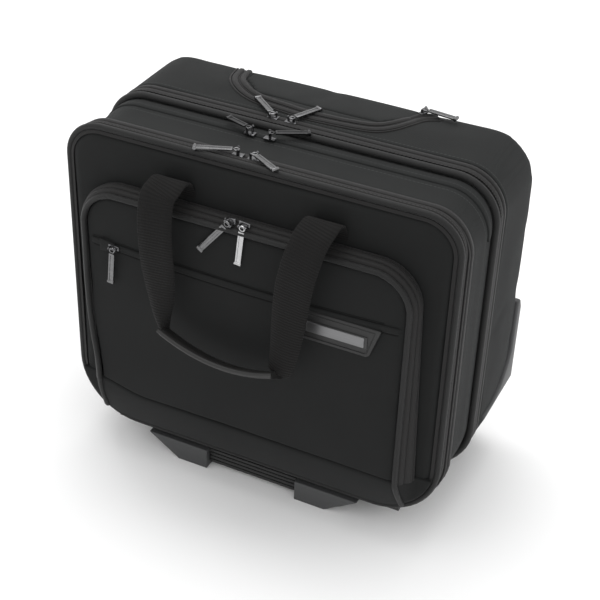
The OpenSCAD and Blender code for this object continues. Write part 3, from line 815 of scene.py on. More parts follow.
side_band = strip_round(front_hw, LID_BASE, front_top, FRONT_BOTTOM_R, FRONT_R,
                        [(-3.0, 2), (0.4, 3), (1.0, 9.0), (1.6, 9.6), (3.6, 10.4), (4.6, 12.4),
                         (5.0, 15.0), (4.7, 15.9), (-3.0, 15.9)])
warp(side_band, belly)
finish_piece(side_band, "lid_edge_band", "front_lid", tape_cloth, "zip_tape")

# %% [markdown]
# ## Middle section
# The gusset is a wide strip of the coarser cloth that dips between its two seams. A flap covers
# the zip of the middle pocket along the top and stops part way down the corners.

# %% Gusset
gusset = strip_round(mid_hi.x - 4, BASE, mid_hi.z - 4, REAR_BOTTOM_R + 10, MID_R - 4,
                     [(0.8, 30.5), (3.2, 31.2), (4.0, 33), (3.6, 40), (3.4, 52), (3.8, 60),
                      (4.2, 68), (4.4, 78), (4.4, 86), (3.0, 94), (-1.0, 98.6), (-1.0, 60),
                      (-1.0, 30.5)])
warp(gusset, belly)
finish_piece(gusset, "gusset", "middle_section", gusset_cloth, "body_fabric", "middle_shell")
divider_lo, divider_hi = span("laptop_divider")
middle_flap = strip_round(mid_hi.x, BASE, mid_hi.z, REAR_BOTTOM_R, MID_R,
                          [(0.1, 70.3), (1.0, 70.5), (1.7, 71.4), (1.7, 76), (1.2, 84),
                           (0.1, 86.5)],
                          open_below=335)
warp(middle_flap, belly)
finish_piece(middle_flap, "middle_zip_flap", "middle_section", gusset_cloth, "zip_tape",
             "middle_zip_tape")

# %% Inner walls of the middle section
back_wall = block(mid_hi.x - 3.5, BASE + 3, mid_hi.z - 3.5, REAR_BOTTOM_R, MID_R - 4, 95.5, 98.8,
                  1.0, 1.0)
smooth(back_wall)
finish_piece(back_wall, "middle_back_wall", "middle_section", lining_cloth, "lining")
laptop_wall = block(divider_hi.x, divider_lo.z - 30, divider_hi.z, 40, 18, divider_lo.y,
                    divider_hi.y, 1.0, 1.0)
smooth(laptop_wall)
finish_piece(laptop_wall, "laptop_wall", "middle_section", lining_cloth, "lining",
             "laptop_divider")

# %% [markdown]
# ## Front section
# The front is a shallow lid. Its panel is foam-backed and nearly flat, and the pocket stands on it
# as a second padded panel with its own zip band that slopes back to the lid. Under the pocket a
# kick panel runs down to the bag's bottom edge.

# %% Lid panel
lid_panel = block(front_hw - 0.5, LID_BASE + 0.5, front_top - 0.5, FRONT_BOTTOM_R, FRONT_R, 0.8,
                  26, 3.0, 0)
puff(lid_panel, 5.0, 3.0)
keep_side(lid_panel, 15.4, False)
apply_modifier(lid_panel, "SOLIDIFY", thickness=2.5 * MM, offset=-1.0, material_offset=1,
               material_offset_rim=0)
apply_modifier(lid_panel, "SUBSURF", levels=1, render_levels=1)
smooth(lid_panel, 60)
finish_piece(lid_panel, "lid_panel", "front_lid", panel_cloth, "body_fabric", "front_shell",
             second=lining_cloth)

# %% Pocket panel
POCKET_X = (pocket_lo.x + pocket_hi.x) / 2
face_hw = (pocket_hi.x - pocket_lo.x) / 2 - 6
kick_z = pocket_lo.z
face_top = pocket_hi.z - 6
POCKET_R = 37
pocket_y = pocket_lo.y


def lean(x, y, z):
    """The pocket's left side leans in towards its foot, and its sides spread at the base."""
    left = ease((200 - z) / 100) * 8 * ease((POCKET_X - 90 - x) / 85)
    foot = ease((250 - z) / 120) * ease((y + 17) / 14) * ease((abs(x) - 168) / 10)
    return left + math.copysign(8.0 * foot, x), 0, 0


def seam_rise(x):
    """The kick seam climbs at its left end."""
    return 11 * ease((POCKET_X - 105 - x) / 65) ** 1.3 * (1 - ease((-170 - x) / 14))


def seam_fit(x, y, z):
    return 0, 0, seam_rise(x) * (1 - ease((z - kick_z) / 40))


pocket_panel = block(face_hw, kick_z, face_top, 3, POCKET_R, pocket_y + 0.7, -1, 2.0, 0,
                     cx=POCKET_X)
puff(pocket_panel, 4.5, 3.0)
apply_modifier(pocket_panel, "SUBSURF", levels=1, render_levels=1)
warp(pocket_panel, lean)
warp(pocket_panel, seam_fit)
smooth(pocket_panel, 60)
finish_piece(pocket_panel, "pocket_panel", "front_lid", panel_cloth, "body_fabric",
             "pocket_shell")

pocket_band = strip_round(face_hw, kick_z - 60, face_top, 3, POCKET_R,
                          [(0.3, -19.5), (2.6, -18.9), (4.0, -18.2), (5.6, -17.6), (7.0, -16.4),
                           (7.5, -14.8), (7.1, -13.4), (5.9, -13.0), (5.9, -12.5), (7.5, -12.0),
                           (8.8, -10.6), (9.1, -8.6), (8.6, -6.9), (7.2, -6.4), (7.2, -5.9),
                           (8.1, -5.4), (8.3, -3.4), (7.4, -1.2), (6.2, 0.8), (0.3, 0.8)],
                          open_below=kick_z, cx=POCKET_X)
warp(pocket_band, lean)
finish_piece(pocket_band, "pocket_zip_band", "front_lid", tape_cloth, "zip_tape",
             "pocket_zip_tape")

# %% [markdown]
# The kick panel is one piece from edge to edge. Under the pocket it starts at the pocket's full
# depth; past the pocket's sides it falls back to the lid. Its top edge turns in, so the seam reads
# as a dark line.

# %% Kick panel
LEFT_EDGE, RIGHT_EDGE = POCKET_X - face_hw + 8, POCKET_X + face_hw


def kick_depth(x):
    """Depth of the panel at its seam: proud under the pocket, flush beyond it."""
    past = max(x - RIGHT_EDGE, LEFT_EDGE - x, 0.0)
    return (pocket_y + 1.2) * (1 - ease(past / 17)) - 1.0


def kick_point(x, t):
    corner = max(0.0, abs(x) - (front_hw - FRONT_BOTTOM_R))
    low = LID_BASE + FRONT_BOTTOM_R - math.sqrt(max(0.0, FRONT_BOTTOM_R ** 2 - corner ** 2))
    high = kick_z + 2.6 + seam_rise(x)
    y = kick_depth(x) * (1 - t ** 1.5) - 1.0 * t
    if t < 0.001:
        y += 3.2
    elif t < 0.03:
        y += 0.6
    if t > 0.9:
        y += (t - 0.9) * 28
    return at(x, y, high + (low - high) * t)


bpy.ops.object.select_all(action="DESELECT")
bpy.ops.mesh.primitive_grid_add(x_subdivisions=120, y_subdivisions=24, size=1)
kick_panel = bpy.context.object
KICK_ROWS = [0, 0.02, 0.06] + [0.06 + 0.84 * k / 15 for k in range(1, 16)] + [
    0.92, 0.94, 0.96, 0.975, 0.985, 0.993, 1.0]
for v in kick_panel.data.vertices:
    row = KICK_ROWS[round((0.5 - v.co.y) * 24)]
    v.co = kick_point(v.co.x * 2 * (front_hw - 1.2), row)
apply_modifier(kick_panel, "SOLIDIFY", thickness=2.0 * MM, offset=-1.0)
outward(kick_panel)
smooth(kick_panel, 60)
finish_piece(kick_panel, "kick_skin", "front_lid", panel_cloth, "body_fabric", "kick_panel")

# %% [markdown]
# The cord of the pocket's edge runs on past the kick seam, down to the bottom edge. It is a round
# section swept along its own path: up one side, over the two corners and down the other.

# %% Pocket cord
CORD_Y = pocket_y - 0.5
CORD_R = 2.9


def arc_points(cx, cz, r, a0, a1, y, steps=8):
    return [at(cx + r * math.cos(math.radians(a0 + (a1 - a0) * k / steps)), y,
               cz + r * math.sin(math.radians(a0 + (a1 - a0) * k / steps)))
            for k in range(steps + 1)]


def leg(side, up):
    edge = POCKET_X + side * (face_hw + 1.5)
    foot_x = LEFT_EDGE - 1.5 if side < 0 else edge
    points = []
    for t in (0.93, 0.88, 0.75, 0.6, 0.45, 0.3, 0.15, 0.05):
        p = kick_point(foot_x + side * 4 * t, t)
        points.append(p + Vector((0, -0.9 * MM, -0.4 * MM)))
    for z in (kick_z + 14, kick_z + 40, kick_z + 75, kick_z + 120, kick_z + 170):
        dx = lean(edge, CORD_Y, z)[0]
        points.append(at(edge + dx, CORD_Y, z))
    return points if up else points[::-1]


cord_r = POCKET_R + 1.5
corner_x = face_hw + 1.5 - cord_r
corner_z = face_top + 1.5 - cord_r
cord_path = (leg(-1, True) + arc_points(POCKET_X - corner_x, corner_z, cord_r, 180, 90, CORD_Y)
             + [at(-60, CORD_Y, face_top + 1.5), at(60, CORD_Y, face_top + 1.5)]
             + arc_points(POCKET_X + corner_x, corner_z, cord_r, 90, 0, CORD_Y) + leg(1, False))
round_section = [(CORD_R * MM * math.cos(2 * math.pi * k / 12),
                  CORD_R * MM * math.sin(2 * math.pi * k / 12)) for k in range(12)]
pocket_cord = sweep("pocket_cord", smooth_path(cord_path, 3), lambda i, t: round_section,
                    lambda i, p, t: Vector((0, 1, 0)))
finish_piece(pocket_cord, "pocket_cord", "front_lid", cord_cover, "piping", "pocket_piping")

# %% [markdown]
# ## Slot pocket, badge and plate
# A second zip lies flat across the pocket. It shows as a narrow fold between two slits, and a small
# cloth tab covers its closed end. The two slits are drawn as near-black strips of painted shade: the
# shadow in the open slit under the fold and in the thin seam above it. The patch at its right end is
# plain, and so is its plate.

# %% Slot band and tab
slot_lo, slot_hi = span("slot_zip_tape")
badge_lo, badge_hi = span("badge_patch")
plate_lo, plate_hi = span("nameplate")


def rounded_bar(x0, x1, y0, y1, z0, z1, bevel, segments=3):
    """A box with its edges rounded off, in bag millimetres."""
    o = box(at((x0 + x1) / 2, (y0 + y1) / 2, (z0 + z1) / 2),
            ((x1 - x0) * MM, (y1 - y0) * MM, (z1 - z0) * MM))
    soften(o, bevel, segments)
    return o


def on_face(x, z, lift=0.0):
    """Point of the pocket's front skin at x, z."""
    hit, place, normal, face = pocket_panel.ray_cast(at(x, -80, z), Vector((0, 1, 0)))
    return (place if hit else at(x, pocket_y, z)) + Vector((0, -lift * MM, 0))


def slot_sag(x):
    """The loaded pocket pulls its slot down a little in the middle."""
    return 1.5 - 5 * (1 - ((x - 20) / 190) ** 2)


def face_strip(name, x0, x1, z, height, lift, thick):
    """A flat strip along X that lies on the pocket's face."""
    steps = max(4, int((x1 - x0) / 8))
    stops = [x0 + (x1 - x0) * k / steps for k in range(steps + 1)]
    path = [on_face(x, z + slot_sag(x), lift) for x in stops]
    return sweep(name, path, lambda i, t: slab_section(height * MM, thick * MM),
                 lambda i, p, t: Vector((0, 0, 1)))


slot_fold_z = (slot_lo.z + slot_hi.z) / 2 - 0.5
fold_left = POCKET_X - face_hw + 1
fold = face_strip("fold", fold_left, POCKET_X + face_hw - 1, slot_fold_z, 7.6, 0.5, 2.0)
welt = face_strip("welt", fold_left, slot_hi.x, slot_fold_z + 5.3, 1.6, 0.1, 1.4)
# The two slit strips are painted shade and not cloth: a near-black strip for the shadow in the open
# slit under the fold, and a thin one for the shaded seam line above it.
slit = face_strip("slit", fold_left, POCKET_X + face_hw - 1, slot_fold_z - 4.9, 2.0, 0.2, 0.6)
top_slit_shade = face_strip("top_slit_shade", fold_left, slot_hi.x, slot_fold_z + 4.1, 0.6, 0.12, 0.6)
slits = join([slit, top_slit_shade], "slot_slit_shades")
finish_piece(slits, "slot_slit_shades", "front_lid", slit_shade_cloth, "zip_tape")
face_y = on_face((badge_lo.x + badge_hi.x) / 2, (badge_lo.z + badge_hi.z) / 2).y / MM
face_y -= FRONT_Y / MM
tab = rounded_bar(slot_lo.x - 9, slot_lo.x + 8, face_y - 2.4, face_y + 1.5, slot_fold_z - 6.5,
                  slot_fold_z + 7.5, 0.8)
edit(tab, lambda co: co.x > (slot_lo.x + 4) * MM)
bpy.ops.transform.resize(value=(1, 1, 0.7), center_override=tuple(at(slot_lo.x, 0, slot_fold_z)))
done()
smooth(tab, 35)
slot_band = join([fold, welt, tab], "slot_band")
smooth(slot_band, 50)
finish_piece(slot_band, "slot_band", "front_lid", panel_cloth, "zip_tape", "slot_zip_tape")

# %% Patch and plate


def plate_from(points, y0, y1, bevel, segments=3):
    """Extrudes an outline of (x, z) points between two depths and rounds its edges."""
    o = prism([at(x, y1, z) for x, z in points], (0, (y0 - y1) * MM, 0), bevel, segments)
    smooth(o, 35)
    return o


slope = 12
low_z, high_z = badge_lo.z, badge_hi.z - 0.5
patch_points = [(badge_lo.x + slope, low_z), (badge_hi.x - slope - 2, low_z),
                (badge_hi.x - slope + 1.5, low_z + 2.4), (badge_hi.x, high_z),
                (badge_lo.x, high_z), (badge_lo.x + slope - 3, low_z + 2.4)]
badge = plate_from(patch_points, face_y - 2.2, face_y + 0.5, 0.7)
border = [(badge_lo.x + 6, high_z - 4), (badge_hi.x - 6, high_z - 4),
          (badge_hi.x - slope - 1.5, low_z + 4.5), (badge_hi.x - slope - 4, low_z + 3.2),
          (badge_lo.x + slope + 4, low_z + 3.2), (badge_lo.x + slope + 1.5, low_z + 4.5),
          (badge_lo.x + 6, high_z - 4)]
rim = sweep("border", [at(x, face_y - 2.2, z) for x, z in border],
            lambda i, t: [(u * 0.25, v * 0.25) for u, v in round_section],
            lambda i, p, t: Vector((0, 1, 0)))
badge = join([badge, rim], "patch")
smooth(badge, 35)
finish_piece(badge, "patch", "front_lid", patch_leather, "patch", "badge_patch")
plate = rounded_bar(plate_lo.x + 5, plate_hi.x - 3, face_y - 4.2, face_y - 2.0, plate_lo.z + 0.8,
                    plate_hi.z - 0.8, 0.5)
smooth(plate, 35)
finish_piece(plate, "plate", "front_lid", plate_metal, "plate", "nameplate")
plate_frame = rounded_bar(plate_lo.x, plate_hi.x, face_y - 3.2, face_y - 1.8, plate_lo.z,
                          plate_hi.z, 0.6)
smooth(plate_frame, 35)
finish_piece(plate_frame, "plate_frame", "front_lid", dark_plastic, "plate")

# %% [markdown]
# ## Carry handles
# Webbing is sewn into the seam over the pocket, stands up in a small loop and falls forwards. At
# the grip its edges fold together and a wrap closes round both ends. The strap is swept along a
# given path with its width easing in towards the grip.

# %% Front straps
fold_z = span("strap_anchors")[1].z - 2.7
ROOT = [(-0.5, -20), (-3, -10), (-9, -1), (-17, 2)]
left_points = [(-80, y, fold_z + dz) for y, dz in ROOT] + [
    (-82, -25, fold_z - 2), (-85, -33, fold_z - 10), (-84, -40, fold_z - 26),
    (-82, -44, fold_z - 52), (-79, -45, fold_z - 88), (-77, -46, fold_z - 115),
    (-76, -48, fold_z - 134), (-73, -50, fold_z - 150)]
right_points = [(81, y, fold_z + dz) for y, dz in ROOT] + [
    (79, -25, fold_z - 2), (76, -33, fold_z - 10), (73, -40, fold_z - 24),
    (68, -44, fold_z - 48), (64, -45.5, fold_z - 78), (61, -46.5, fold_z - 110),
    (58, -48.5, fold_z - 138), (54, -50, fold_z - 158)]


def strap(name, points, width, pinch=0.38):
    path = smooth_path([at(*p) for p in points], 8)

    def section(i, t):
        closing = max(0.0, (t - 0.68) / 0.32)
        w = width * (1 - pinch * closing ** 1.5)
        cup = 5.0 * MM * closing
        ring = slab_section(w * MM, 2.3 * MM)
        return [(u, v + cup * (2 * u / (w * MM)) ** 2) for u, v in ring]

    return sweep(name, path, section, lambda i, p, t: Vector((1, 0, 0)))


for name, points in (("front_strap_left", left_points), ("front_strap_right", right_points)):
    piece = strap(name, points, 38, 0.75 if name.endswith("left") else 0.38)
    replaced = ["front_straps", "strap_anchors"] if name.endswith("left") else []
    piece.data.materials.append(strap_webbing)
    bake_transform(piece)
    if replaced:
        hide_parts(*replaced)

# %% Front grip
grip_lo, grip_hi = span("front_grip")
grip_mid_y = (grip_lo.y + grip_hi.y) / 2
TILT = math.radians(34)
wide = Vector((0, math.cos(TILT), -math.sin(TILT)))


def grip_path(x0, z0, x1, z1, y, sag, steps=24):
    return [at(x0 + (x1 - x0) * i / steps, y,
               z0 + (z1 - z0) * i / steps - sag * 4 * (i / steps) * (1 - i / steps))
            for i in range(steps + 1)]


def wrap_section(w, t):
    """A flat roll: two thick edges and thinner middle."""
    ring = []
    for k in range(20):
        a = 2 * math.pi * k / 20
        u = math.copysign(abs(math.cos(a)) ** 0.7, math.cos(a)) * w / 2
        v = math.sin(a) * t / 2 * (0.75 + 0.25 * abs(math.cos(a)))
        ring.append((u, v))
    return ring


path = grip_path(grip_lo.x + 3, fold_z - 149, grip_hi.x - 4, fold_z - 159, grip_mid_y, 15)
front_grip = sweep("front_grip_wrap", path, lambda i, t: wrap_section(27 * MM, 9.5 * MM),
                   lambda i, p, t: wide)
edge_path = [p + wide * -12.6 * MM for p in path]
edge_cord = sweep("grip_edge", edge_path, lambda i, t: [(u * 0.8, v * 0.8) for u, v in
                                                        round_section],
                  lambda i, p, t: wide)
front_grip = join([front_grip, edge_cord], "front_grip_wrap")
finish_piece(front_grip, "front_grip_wrap", "front_handle", grip_leather, "grip_wrap",
             "front_grip")

# %% Rear handle
hinge_lo, hinge_hi = span("rear_straps")
back_y = hinge_lo.y + 1.3
top_z = hinge_hi.z
for side, name in ((-1, "rear_strap_left"), (1, "rear_strap_right")):
    points = [(66 * side, back_y, top_z), (65.5 * side, back_y + 0.4, top_z - 30),
              (64 * side, back_y + 0.5, top_z - 62), (56 * side, back_y + 1.8, top_z - 116),
              (48 * side, back_y + 4.6, top_z - 140)]
    piece = strap(name, points, 38)
    finish_piece(piece, name, "rear_handle", strap_webbing, "webbing",
                 *(["rear_straps"] if side < 0 else []))
rear_grip_lo, rear_grip_hi = span("rear_grip")
path = grip_path(rear_grip_lo.x, rear_grip_hi.z - 12, rear_grip_hi.x, rear_grip_hi.z - 12,
                 (rear_grip_lo.y + rear_grip_hi.y) / 2, 8)
rear_grip = sweep("rear_grip_wrap", path, lambda i, t: wrap_section(23 * MM, 13.5 * MM),
                  lambda i, p, t: Vector((0, 0, 1)))
finish_piece(rear_grip, "rear_grip_wrap", "rear_handle", grip_leather, "grip_wrap", "rear_grip")

# %% [markdown]
# ## Flap zip
# The flap's zip makes a U over the top of the rear body. Its tape lies on the swollen cloth, so
# each point of the path is dropped on to the skin by a ray from above.

# %% Flap tape


def on_top(x, y, lift=0.0):
    """Height of the rear skin under a point."""
    for skin in (rear_body, flap_panel):
        hit, place, normal, face = skin.ray_cast(at(x, y, rear_hi.z + 60), Vector((0, 0, -1)))
        if hit and place.z > (rear_hi.z - 25) * MM:
            return place + Vector((0, 0, lift * MM))
    return at(x, y, rear_hi.z + lift)


flap_route = [(-107, 189), (-105, 176), (-101, 162), (-92, 150), (-78, 140), (-60, 133.5),
              (-30, 130), (10, 128), (45, 130), (66, 134), (80, 144), (89, 157), (94, 168),
              (101, 178), (112, 186)]
flat_route = smooth_path([Vector((x, y, 0)) for x, y in flap_route], 6)


def tape_strip(name, shift, width, height, lift):
    """A strip of tape beside the route, shifted inwards (+) or outwards (-) in the plane."""
    path = []
    for i, p in enumerate(flat_route):
        t = (flat_route[min(i + 1, len(flat_route) - 1)] - flat_route[max(i - 1, 0)]).normalized()
        q = p + Vector((-t.y, t.x, 0)) * shift
        path.append(on_top(q.x, q.y, lift))
    rows = [(-width / 2, -1.2), (-width / 2, height * 0.4), (-width / 4, height),
            (width / 4, height), (width / 2, height * 0.4), (width / 2, -1.2)]
    ring = [(u * MM, v * MM) for u, v in rows]
    return sweep(name, path, lambda i, t: ring,
                 lambda i, p, t: (path[min(i + 1, len(path) - 1)] - path[max(i - 1, 0)]).cross(
                     Vector((0, 0, 1))))


strips = [tape_strip("inner_fold", 4.2, 6.2, 2.0, 0.2), tape_strip("outer_fold", -4.2, 6.2, 1.8,
                                                                    0.2),
          tape_strip("coil", 0.0, 1.8, 0.9, 0.0), tape_strip("outer_edge", -9.0, 2.4, 1.2, 0.0)]
flap_tape = join(strips, "flap_zip_band")
finish_piece(flap_tape, "flap_zip_band", "case", tape_cloth, "zip_tape", "flap_zip_tape")

# %% [markdown]
# ## Zip sliders and pullers
# All ten zips use the same slider and the same long puller, which hangs from a ring. The slider is
# a thin plate with a bridge over it; the puller is a bevelled bar with a long hollow and a rolled
# end. Each is modelled at the origin and set where the frame's joint says the pin is.

# %% One slider and one puller


def build_slider():
    body = box((0, 0, 1.3 * MM), (12 * MM, 7.6 * MM, 2.2 * MM))
    edit(body, lambda co: co.x > 0)
    bpy.ops.transform.resize(value=(1, 0.62, 0.8))
    done()
    soften(body, 0.6, 2)
    smooth(body, 35)
    return body


def build_bridge(pin_h):
    """The arch that carries the ring: two cheeks and a pin, in the puller's direction."""
    parts = []
    for s in (-1, 1):
        parts.append(cylinder((0, s * 3.9 * MM, pin_h), 1.5 * MM, 1.1 * MM, "Y", 16))
        parts.append(box((0, s * 3.9 * MM, pin_h / 2 + MM), (2.6 * MM, 1.1 * MM, pin_h - 2 * MM)))
    parts.append(cylinder((0, 0, pin_h), 0.8 * MM, 7.6 * MM, "Y", 12))
    arch = join(parts, "arch")
    smooth(arch, 35)
    return arch


def build_puller(length):
    bpy.ops.object.select_all(action="DESELECT")
    bpy.ops.mesh.primitive_torus_add(major_radius=2.6 * MM, minor_radius=0.8 * MM,
                                     major_segments=20, minor_segments=8,
                                     location=(1.4 * MM, 0, 0))
    ring = bpy.context.object
    bar = box((length * MM / 2 + 2.2 * MM, 0, 0), ((length - 6) * MM, 6.4 * MM, 2.0 * MM))
    soften(bar, 0.55, 2)
    for up in (1, -1):
        edit(bar, lambda c, n: n.z * up > 0.99, "FACE")
        bpy.ops.mesh.inset(thickness=1.2 * MM, depth=0)
        bpy.ops.mesh.inset(thickness=0.25 * MM, depth=-0.5 * MM)
        done()
    knob = cylinder(((length - 1.9) * MM, 0, 0), 1.9 * MM, 7.4 * MM, "Y", 18)
    edit(knob, lambda a, b: abs(abs(a.y) - 3.7 * MM) < 1e-5 and abs(a.y - b.y) < 1e-6, "EDGE")
    bpy.ops.mesh.bevel(offset=0.5 * MM, segments=2, affect="EDGES")
    done()
    apply_place(ring)
    puller = join([bar, ring, knob], "puller")
    smooth(puller, 35)
    return puller


# %% Place the ten zips
record_joints = {j["name"]: j for j in frame["record"]["behaviour"]["joints"]}
ZIPS = [("front", "_left"), ("front", "_right"), ("middle", "_left"), ("middle", "_right"),
        ("rear", "_left"), ("rear", "_right"), ("pocket", "_left"), ("pocket", "_right"),
        ("slot", ""), ("flap", "")]
slider_model = build_slider()
for place, side in ZIPS:
    lift = record_joints[f"{place}_puller{side}_lift"]
    slide = record_joints[f"{place}_zip{side}_slide"]
    pin = Vector(lift["pos_m"])
    axis = Vector(lift["axis"])
    face = Vector((0, -1, 0)) if place in ("pocket", "slot") else Vector((0, 0, 1))
    pull = face.cross(axis) * -1
    if pull.dot(Vector(((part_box(f"{place}_puller{side}")[0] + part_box(
            f"{place}_puller{side}")[1]))) / 2 - pin) < 0:
        pull = -pull
    low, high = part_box(f"{place}_puller{side}")
    length = max(30.0, min(50.0, (high - low).length / MM - 6))
    along = Vector(slide["axis"])
    foot = pin - face * (pin - Vector(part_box(f"{place}_slider{side}")[0])).dot(face)
    if place in ("pocket", "slot"):
        base = Vector(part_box(f"{place}_slider{side}")[1]).y
        foot = Vector((pin.x, base, pin.z))
    pin_h = (pin - foot).length
    body = slider_model.copy()
    body.data = slider_model.data.copy()
    bpy.context.collection.objects.link(body)
    turn = Matrix((along, face.cross(along), face)).transposed().to_4x4()
    body.matrix_world = Matrix.Translation(foot) @ turn
    apply_place(body)
    arch = build_bridge(pin_h)
    turn = Matrix((pull, face.cross(pull), face)).transposed().to_4x4()
    arch.matrix_world = Matrix.Translation(foot) @ turn
    apply_place(arch)
    slider = join([body, arch], f"{place}_slide{side}")
    finish_piece(slider, f"{place}_slide{side}", f"{place}_slider{side}", gunmetal, "slider_metal",
                 f"{place}_slider{side}")
    puller = build_puller(length)
    puller.matrix_world = Matrix.Translation(pin) @ turn
    apply_place(puller)
    # The pocket's right puller gets the lighter copy of the puller metal, a painted highlight where
    # it catches the light.
    tone = {"middle": black_metal, "pocket_right": lit_puller_metal}
    finish = tone.get(place, tone.get(place + side, puller_metal))
    finish_piece(puller, f"{place}_pull{side}", f"{place}_puller{side}", finish,
                 "puller_metal", f"{place}_puller{side}")
bpy.data.objects.remove(slider_model)

# %% [markdown]
# ## Base, feet, guards and wheels
# The hard parts keep the shapes of the frame, but their edges are broken and their faces
# grained. The guards taper in towards the floor, and the wheels get round shoulders and spoked
# hubs.

# %% Feet and grab bar
feet_lo, feet_hi = span("front_feet")
bar_lo, bar_hi = span("grab_bar")
feet = []
for s in (-1, 1):
    outline_xz = [(53 * s, 0), (88.5 * s, 0), (126 * s, feet_hi.z), (53 * s, feet_hi.z)]
    foot = plate_from(outline_xz, feet_lo.y, feet_hi.y, 1.4)
    feet.append(foot)
feet = join(feet, "feet")
finish_piece(feet, "feet", "case", guard_plastic, "guard_plastic", "front_feet")
bars = [rounded_bar(bar_lo.x, bar_hi.x, bar_lo.y + 1.5, bar_hi.y, bar_lo.z, bar_hi.z, 1.2)]
RIBS = 4
rib = (bar_hi.z - bar_lo.z) / RIBS
for k in range(RIBS):
    bars.append(rounded_bar(bar_lo.x + 0.4, bar_hi.x - 0.4, bar_lo.y, bar_lo.y + 3,
                            bar_lo.z + rib * k + 0.5, bar_lo.z + rib * (k + 1) - 0.5, 1.0, 2))
grab = join(bars, "grab")
smooth(grab, 35)
finish_piece(grab, "ribbed_bar", "case", bar_rubber, "rubber", "grab_bar")

# %% Wheel guards


def guard_outline():
    """(y, z) points of the guard's side, from the frame's box."""
    f, b, t, w = guard_lo.y, guard_hi.y, guard_hi.z, (wheel_lo.y + wheel_hi.y) / 2
    r = wheel_hi.z / 2
    h = BASE
    return [(f, h - 4), (f, h + 58.6), (w - 27, h + 58.6), (w - 3, h + 65.6), (w + 14, h + 83),
            (rear_hi.y, h + 96), (rear_hi.y, t), (b - 6, t), (b, t - 12), (b, r + 43),
            (w + 30, r + 18), (w + 19, r - 8), (w + 6, r - 13), (w - 26, r - 13),
            (f + 10, h - 8)]


guards = []
inner_x = wheel_lo.x - 7
TAPER_TOP = 88
for s in (-1, 1):
    g = prism([at(s * inner_x, y, z) for y, z in guard_outline()],
              (s * (guard_hi.x - inner_x) * MM, 0, 0), 2.5)
    edit(g, lambda co: True)
    bpy.ops.mesh.bisect(plane_co=tuple(at(s * guard_hi.x, 0, TAPER_TOP)),
                        plane_no=(s * 0.927, 0, -0.376), use_fill=True, clear_outer=True)
    done()
    well = cylinder(at(s * (wheel_lo.x + wheel_hi.x) / 2, (wheel_lo.y + wheel_hi.y) / 2,
                       wheel_hi.z / 2), (wheel_hi.z / 2 + 3.5) * MM,
                    (wheel_hi.x - wheel_lo.x + 3) * MM, "X", 48)
    apply_modifier(g, "BOOLEAN", object=well, operation="DIFFERENCE", solver="EXACT")
    bpy.data.objects.remove(well)
    guards.append(g)
guards = join(guards, "guards")
smooth(guards, 30)
finish_piece(guards, "wheel_guards", "case", guard_plastic, "guard_plastic", "wheel_housings")

# %% Wheels
for s, name in ((-1, "left"), (1, "right")):
    x = s * (wheel_lo.x + wheel_hi.x) / 2
    y, r, w = (wheel_lo.y + wheel_hi.y) / 2, wheel_hi.z / 2, wheel_hi.x - wheel_lo.x
    tyre = cylinder(at(x, y, r), r * MM, w * MM, "X", 64)
    edit(tyre, lambda c, n: abs(n.x) > 0.9, "FACE")
    bpy.ops.mesh.inset(thickness=7.8 * MM, depth=0)
    bpy.ops.mesh.delete(type="FACE")
    done()
    edit(tyre, lambda a, b: abs(a.x - b.x) < 1e-6 and math.hypot(
        a.y - at(0, y, 0).y, a.z - r * MM) > (r - 1) * MM, "EDGE")
    bpy.ops.mesh.bevel(offset=3.2 * MM, segments=4, affect="EDGES")
    done()
    apply_modifier(tyre, "SOLIDIFY", thickness=3 * MM, offset=-1.0)
    outward(tyre)
    smooth(tyre, 40)
    finish_piece(tyre, f"tyre_{name}_tread", f"wheel_{name}", tyre_rubber, "tyre",
                 f"tyre_{name}")
    spokes = []
    for k in range(5):
        spoke = box((0, 0, 14 * MM), (w * 0.5 * MM, 5 * MM, 17 * MM))
        spoke.rotation_euler = (2 * math.pi * k / 5, 0, 0)
        spoke.location = at(x, y, r)
        apply_place(spoke)
        spokes.append(spoke)
    rim = cylinder(at(x, y, r), 24 * MM, (w - 1) * MM, "X", 48)
    edit(rim, lambda c, n: abs(n.x) > 0.9, "FACE")
    bpy.ops.mesh.inset(thickness=3 * MM, depth=0)
    bpy.ops.mesh.inset(thickness=1 * MM, depth=-6 * MM)
    done()
    cap = cylinder(at(x, y, r), 7 * MM, w * MM, "X", 24)
    hub = join([rim, cap] + spokes, "hub")
    outward(hub)
    smooth(hub, 30)
    finish_piece(hub, f"hub_{name}_spoked", f"wheel_{name}", dark_plastic, "guard_plastic",
                 f"hub_{name}")

# %% [markdown]
# The tubes, bezel, bracket, screws and base plate are already the right shapes, so they keep the
# frame's meshes and only get finishes.

# %% Finishes for the parts that stay
STAYS = {"base_plate": dark_plastic, "wheel_axles": tube_metal, "base_screws": gunmetal,
         "handle_outer_tubes": tube_metal, "handle_middle_tubes": tube_metal,
         "handle_inner_tubes": tube_metal, "handle_bezel": dark_plastic,
         "handle_bracket": dark_plastic, "pull_grip": dark_plastic, "release_button": gunmetal}
for name, material in STAYS.items():
    o = frame["nodes"][name]
    o.data.materials.clear()
    o.data.materials.append(material)
    print(name, "keeps its mesh, finished in", material.name)

# %% [markdown]
# ## Studio
# A plain pale floor, one large soft light overhead and to the left, a weaker one from the right,
# and an even pale surround.

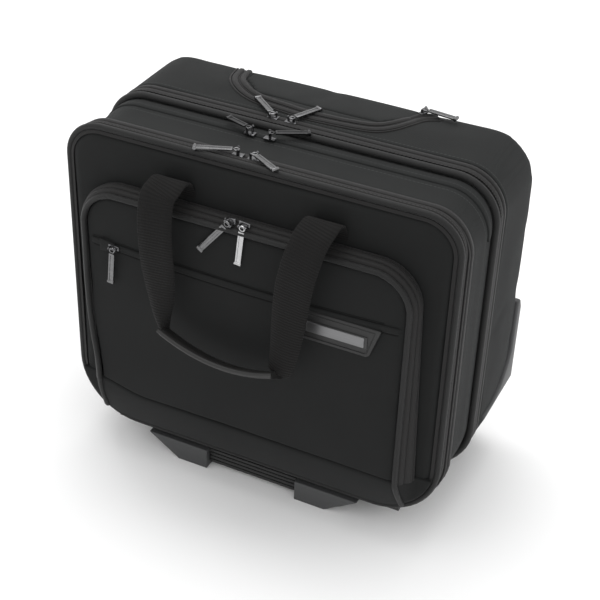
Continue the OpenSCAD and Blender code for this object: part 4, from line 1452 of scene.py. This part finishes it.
# %% Floor, lights and camera
bpy.ops.object.select_all(action="DESELECT")
bpy.ops.mesh.primitive_plane_add(size=30, location=(0, 0, 0))
floor = bpy.context.object
floor.name = "floor"
floor_mat, _, floor_shader = new_material("floor_paper")
floor_shader.inputs["Base Color"].default_value = (0.96, 0.96, 0.96, 1)
floor_shader.inputs["Roughness"].default_value = 0.9
floor_shader.inputs["Specular IOR Level"].default_value = 0.1
floor.data.materials.append(floor_mat)

world = bpy.data.worlds.new("studio")
bpy.context.scene.world = world
world.use_nodes = True
world.node_tree.nodes["Background"].inputs["Color"].default_value = (1, 1, 1, 1)
world.node_tree.nodes["Background"].inputs["Strength"].default_value = 1.0


def area_light(name, place, target, size, power):
    data = bpy.data.lights.new(name, "AREA")
    data.shape = "SQUARE"
    data.size = size
    data.energy = power
    o = bpy.data.objects.new(name, data)
    bpy.context.collection.objects.link(o)
    o.location = place
    o.rotation_euler = (Vector(target) - Vector(place)).to_track_quat("-Z", "Y").to_euler()
    return o


area_light("overhead", (-0.3, 0.4, 2.6), (0, 0, 0.2), 2.0, 30)
area_light("fill_right", (2.2, -0.8, 1.4), (0, 0, 0.2), 1.4, 2)

camera_data = bpy.data.cameras.new("camera")
camera = bpy.data.objects.new("camera", camera_data)
bpy.context.collection.objects.link(camera)
bpy.context.scene.camera = camera
LENS, SENSOR = 83.97, 36.0
AZIMUTH, ELEVATION, ROLL = (math.radians(a) for a in (24.683, 34.210, 2.173))
camera_data.lens = LENS
camera_data.sensor_width = SENSOR
back = Vector((math.sin(AZIMUTH) * math.cos(ELEVATION), -math.cos(AZIMUTH) * math.cos(ELEVATION),
               math.sin(ELEVATION)))
right = (-back).cross(Vector((0, 0, 1))).normalized()
upward = right.cross(-back)
right_rolled = right * math.cos(ROLL) + upward * math.sin(ROLL)
up_rolled = upward * math.cos(ROLL) - right * math.sin(ROLL)
camera.matrix_world = Matrix((right_rolled, up_rolled, back)).transposed().to_4x4()
camera.location = at(520.4, -1017.3, 1021.0)
camera_data.clip_start = 0.05
bpy.context.scene.view_settings.view_transform = "Standard"
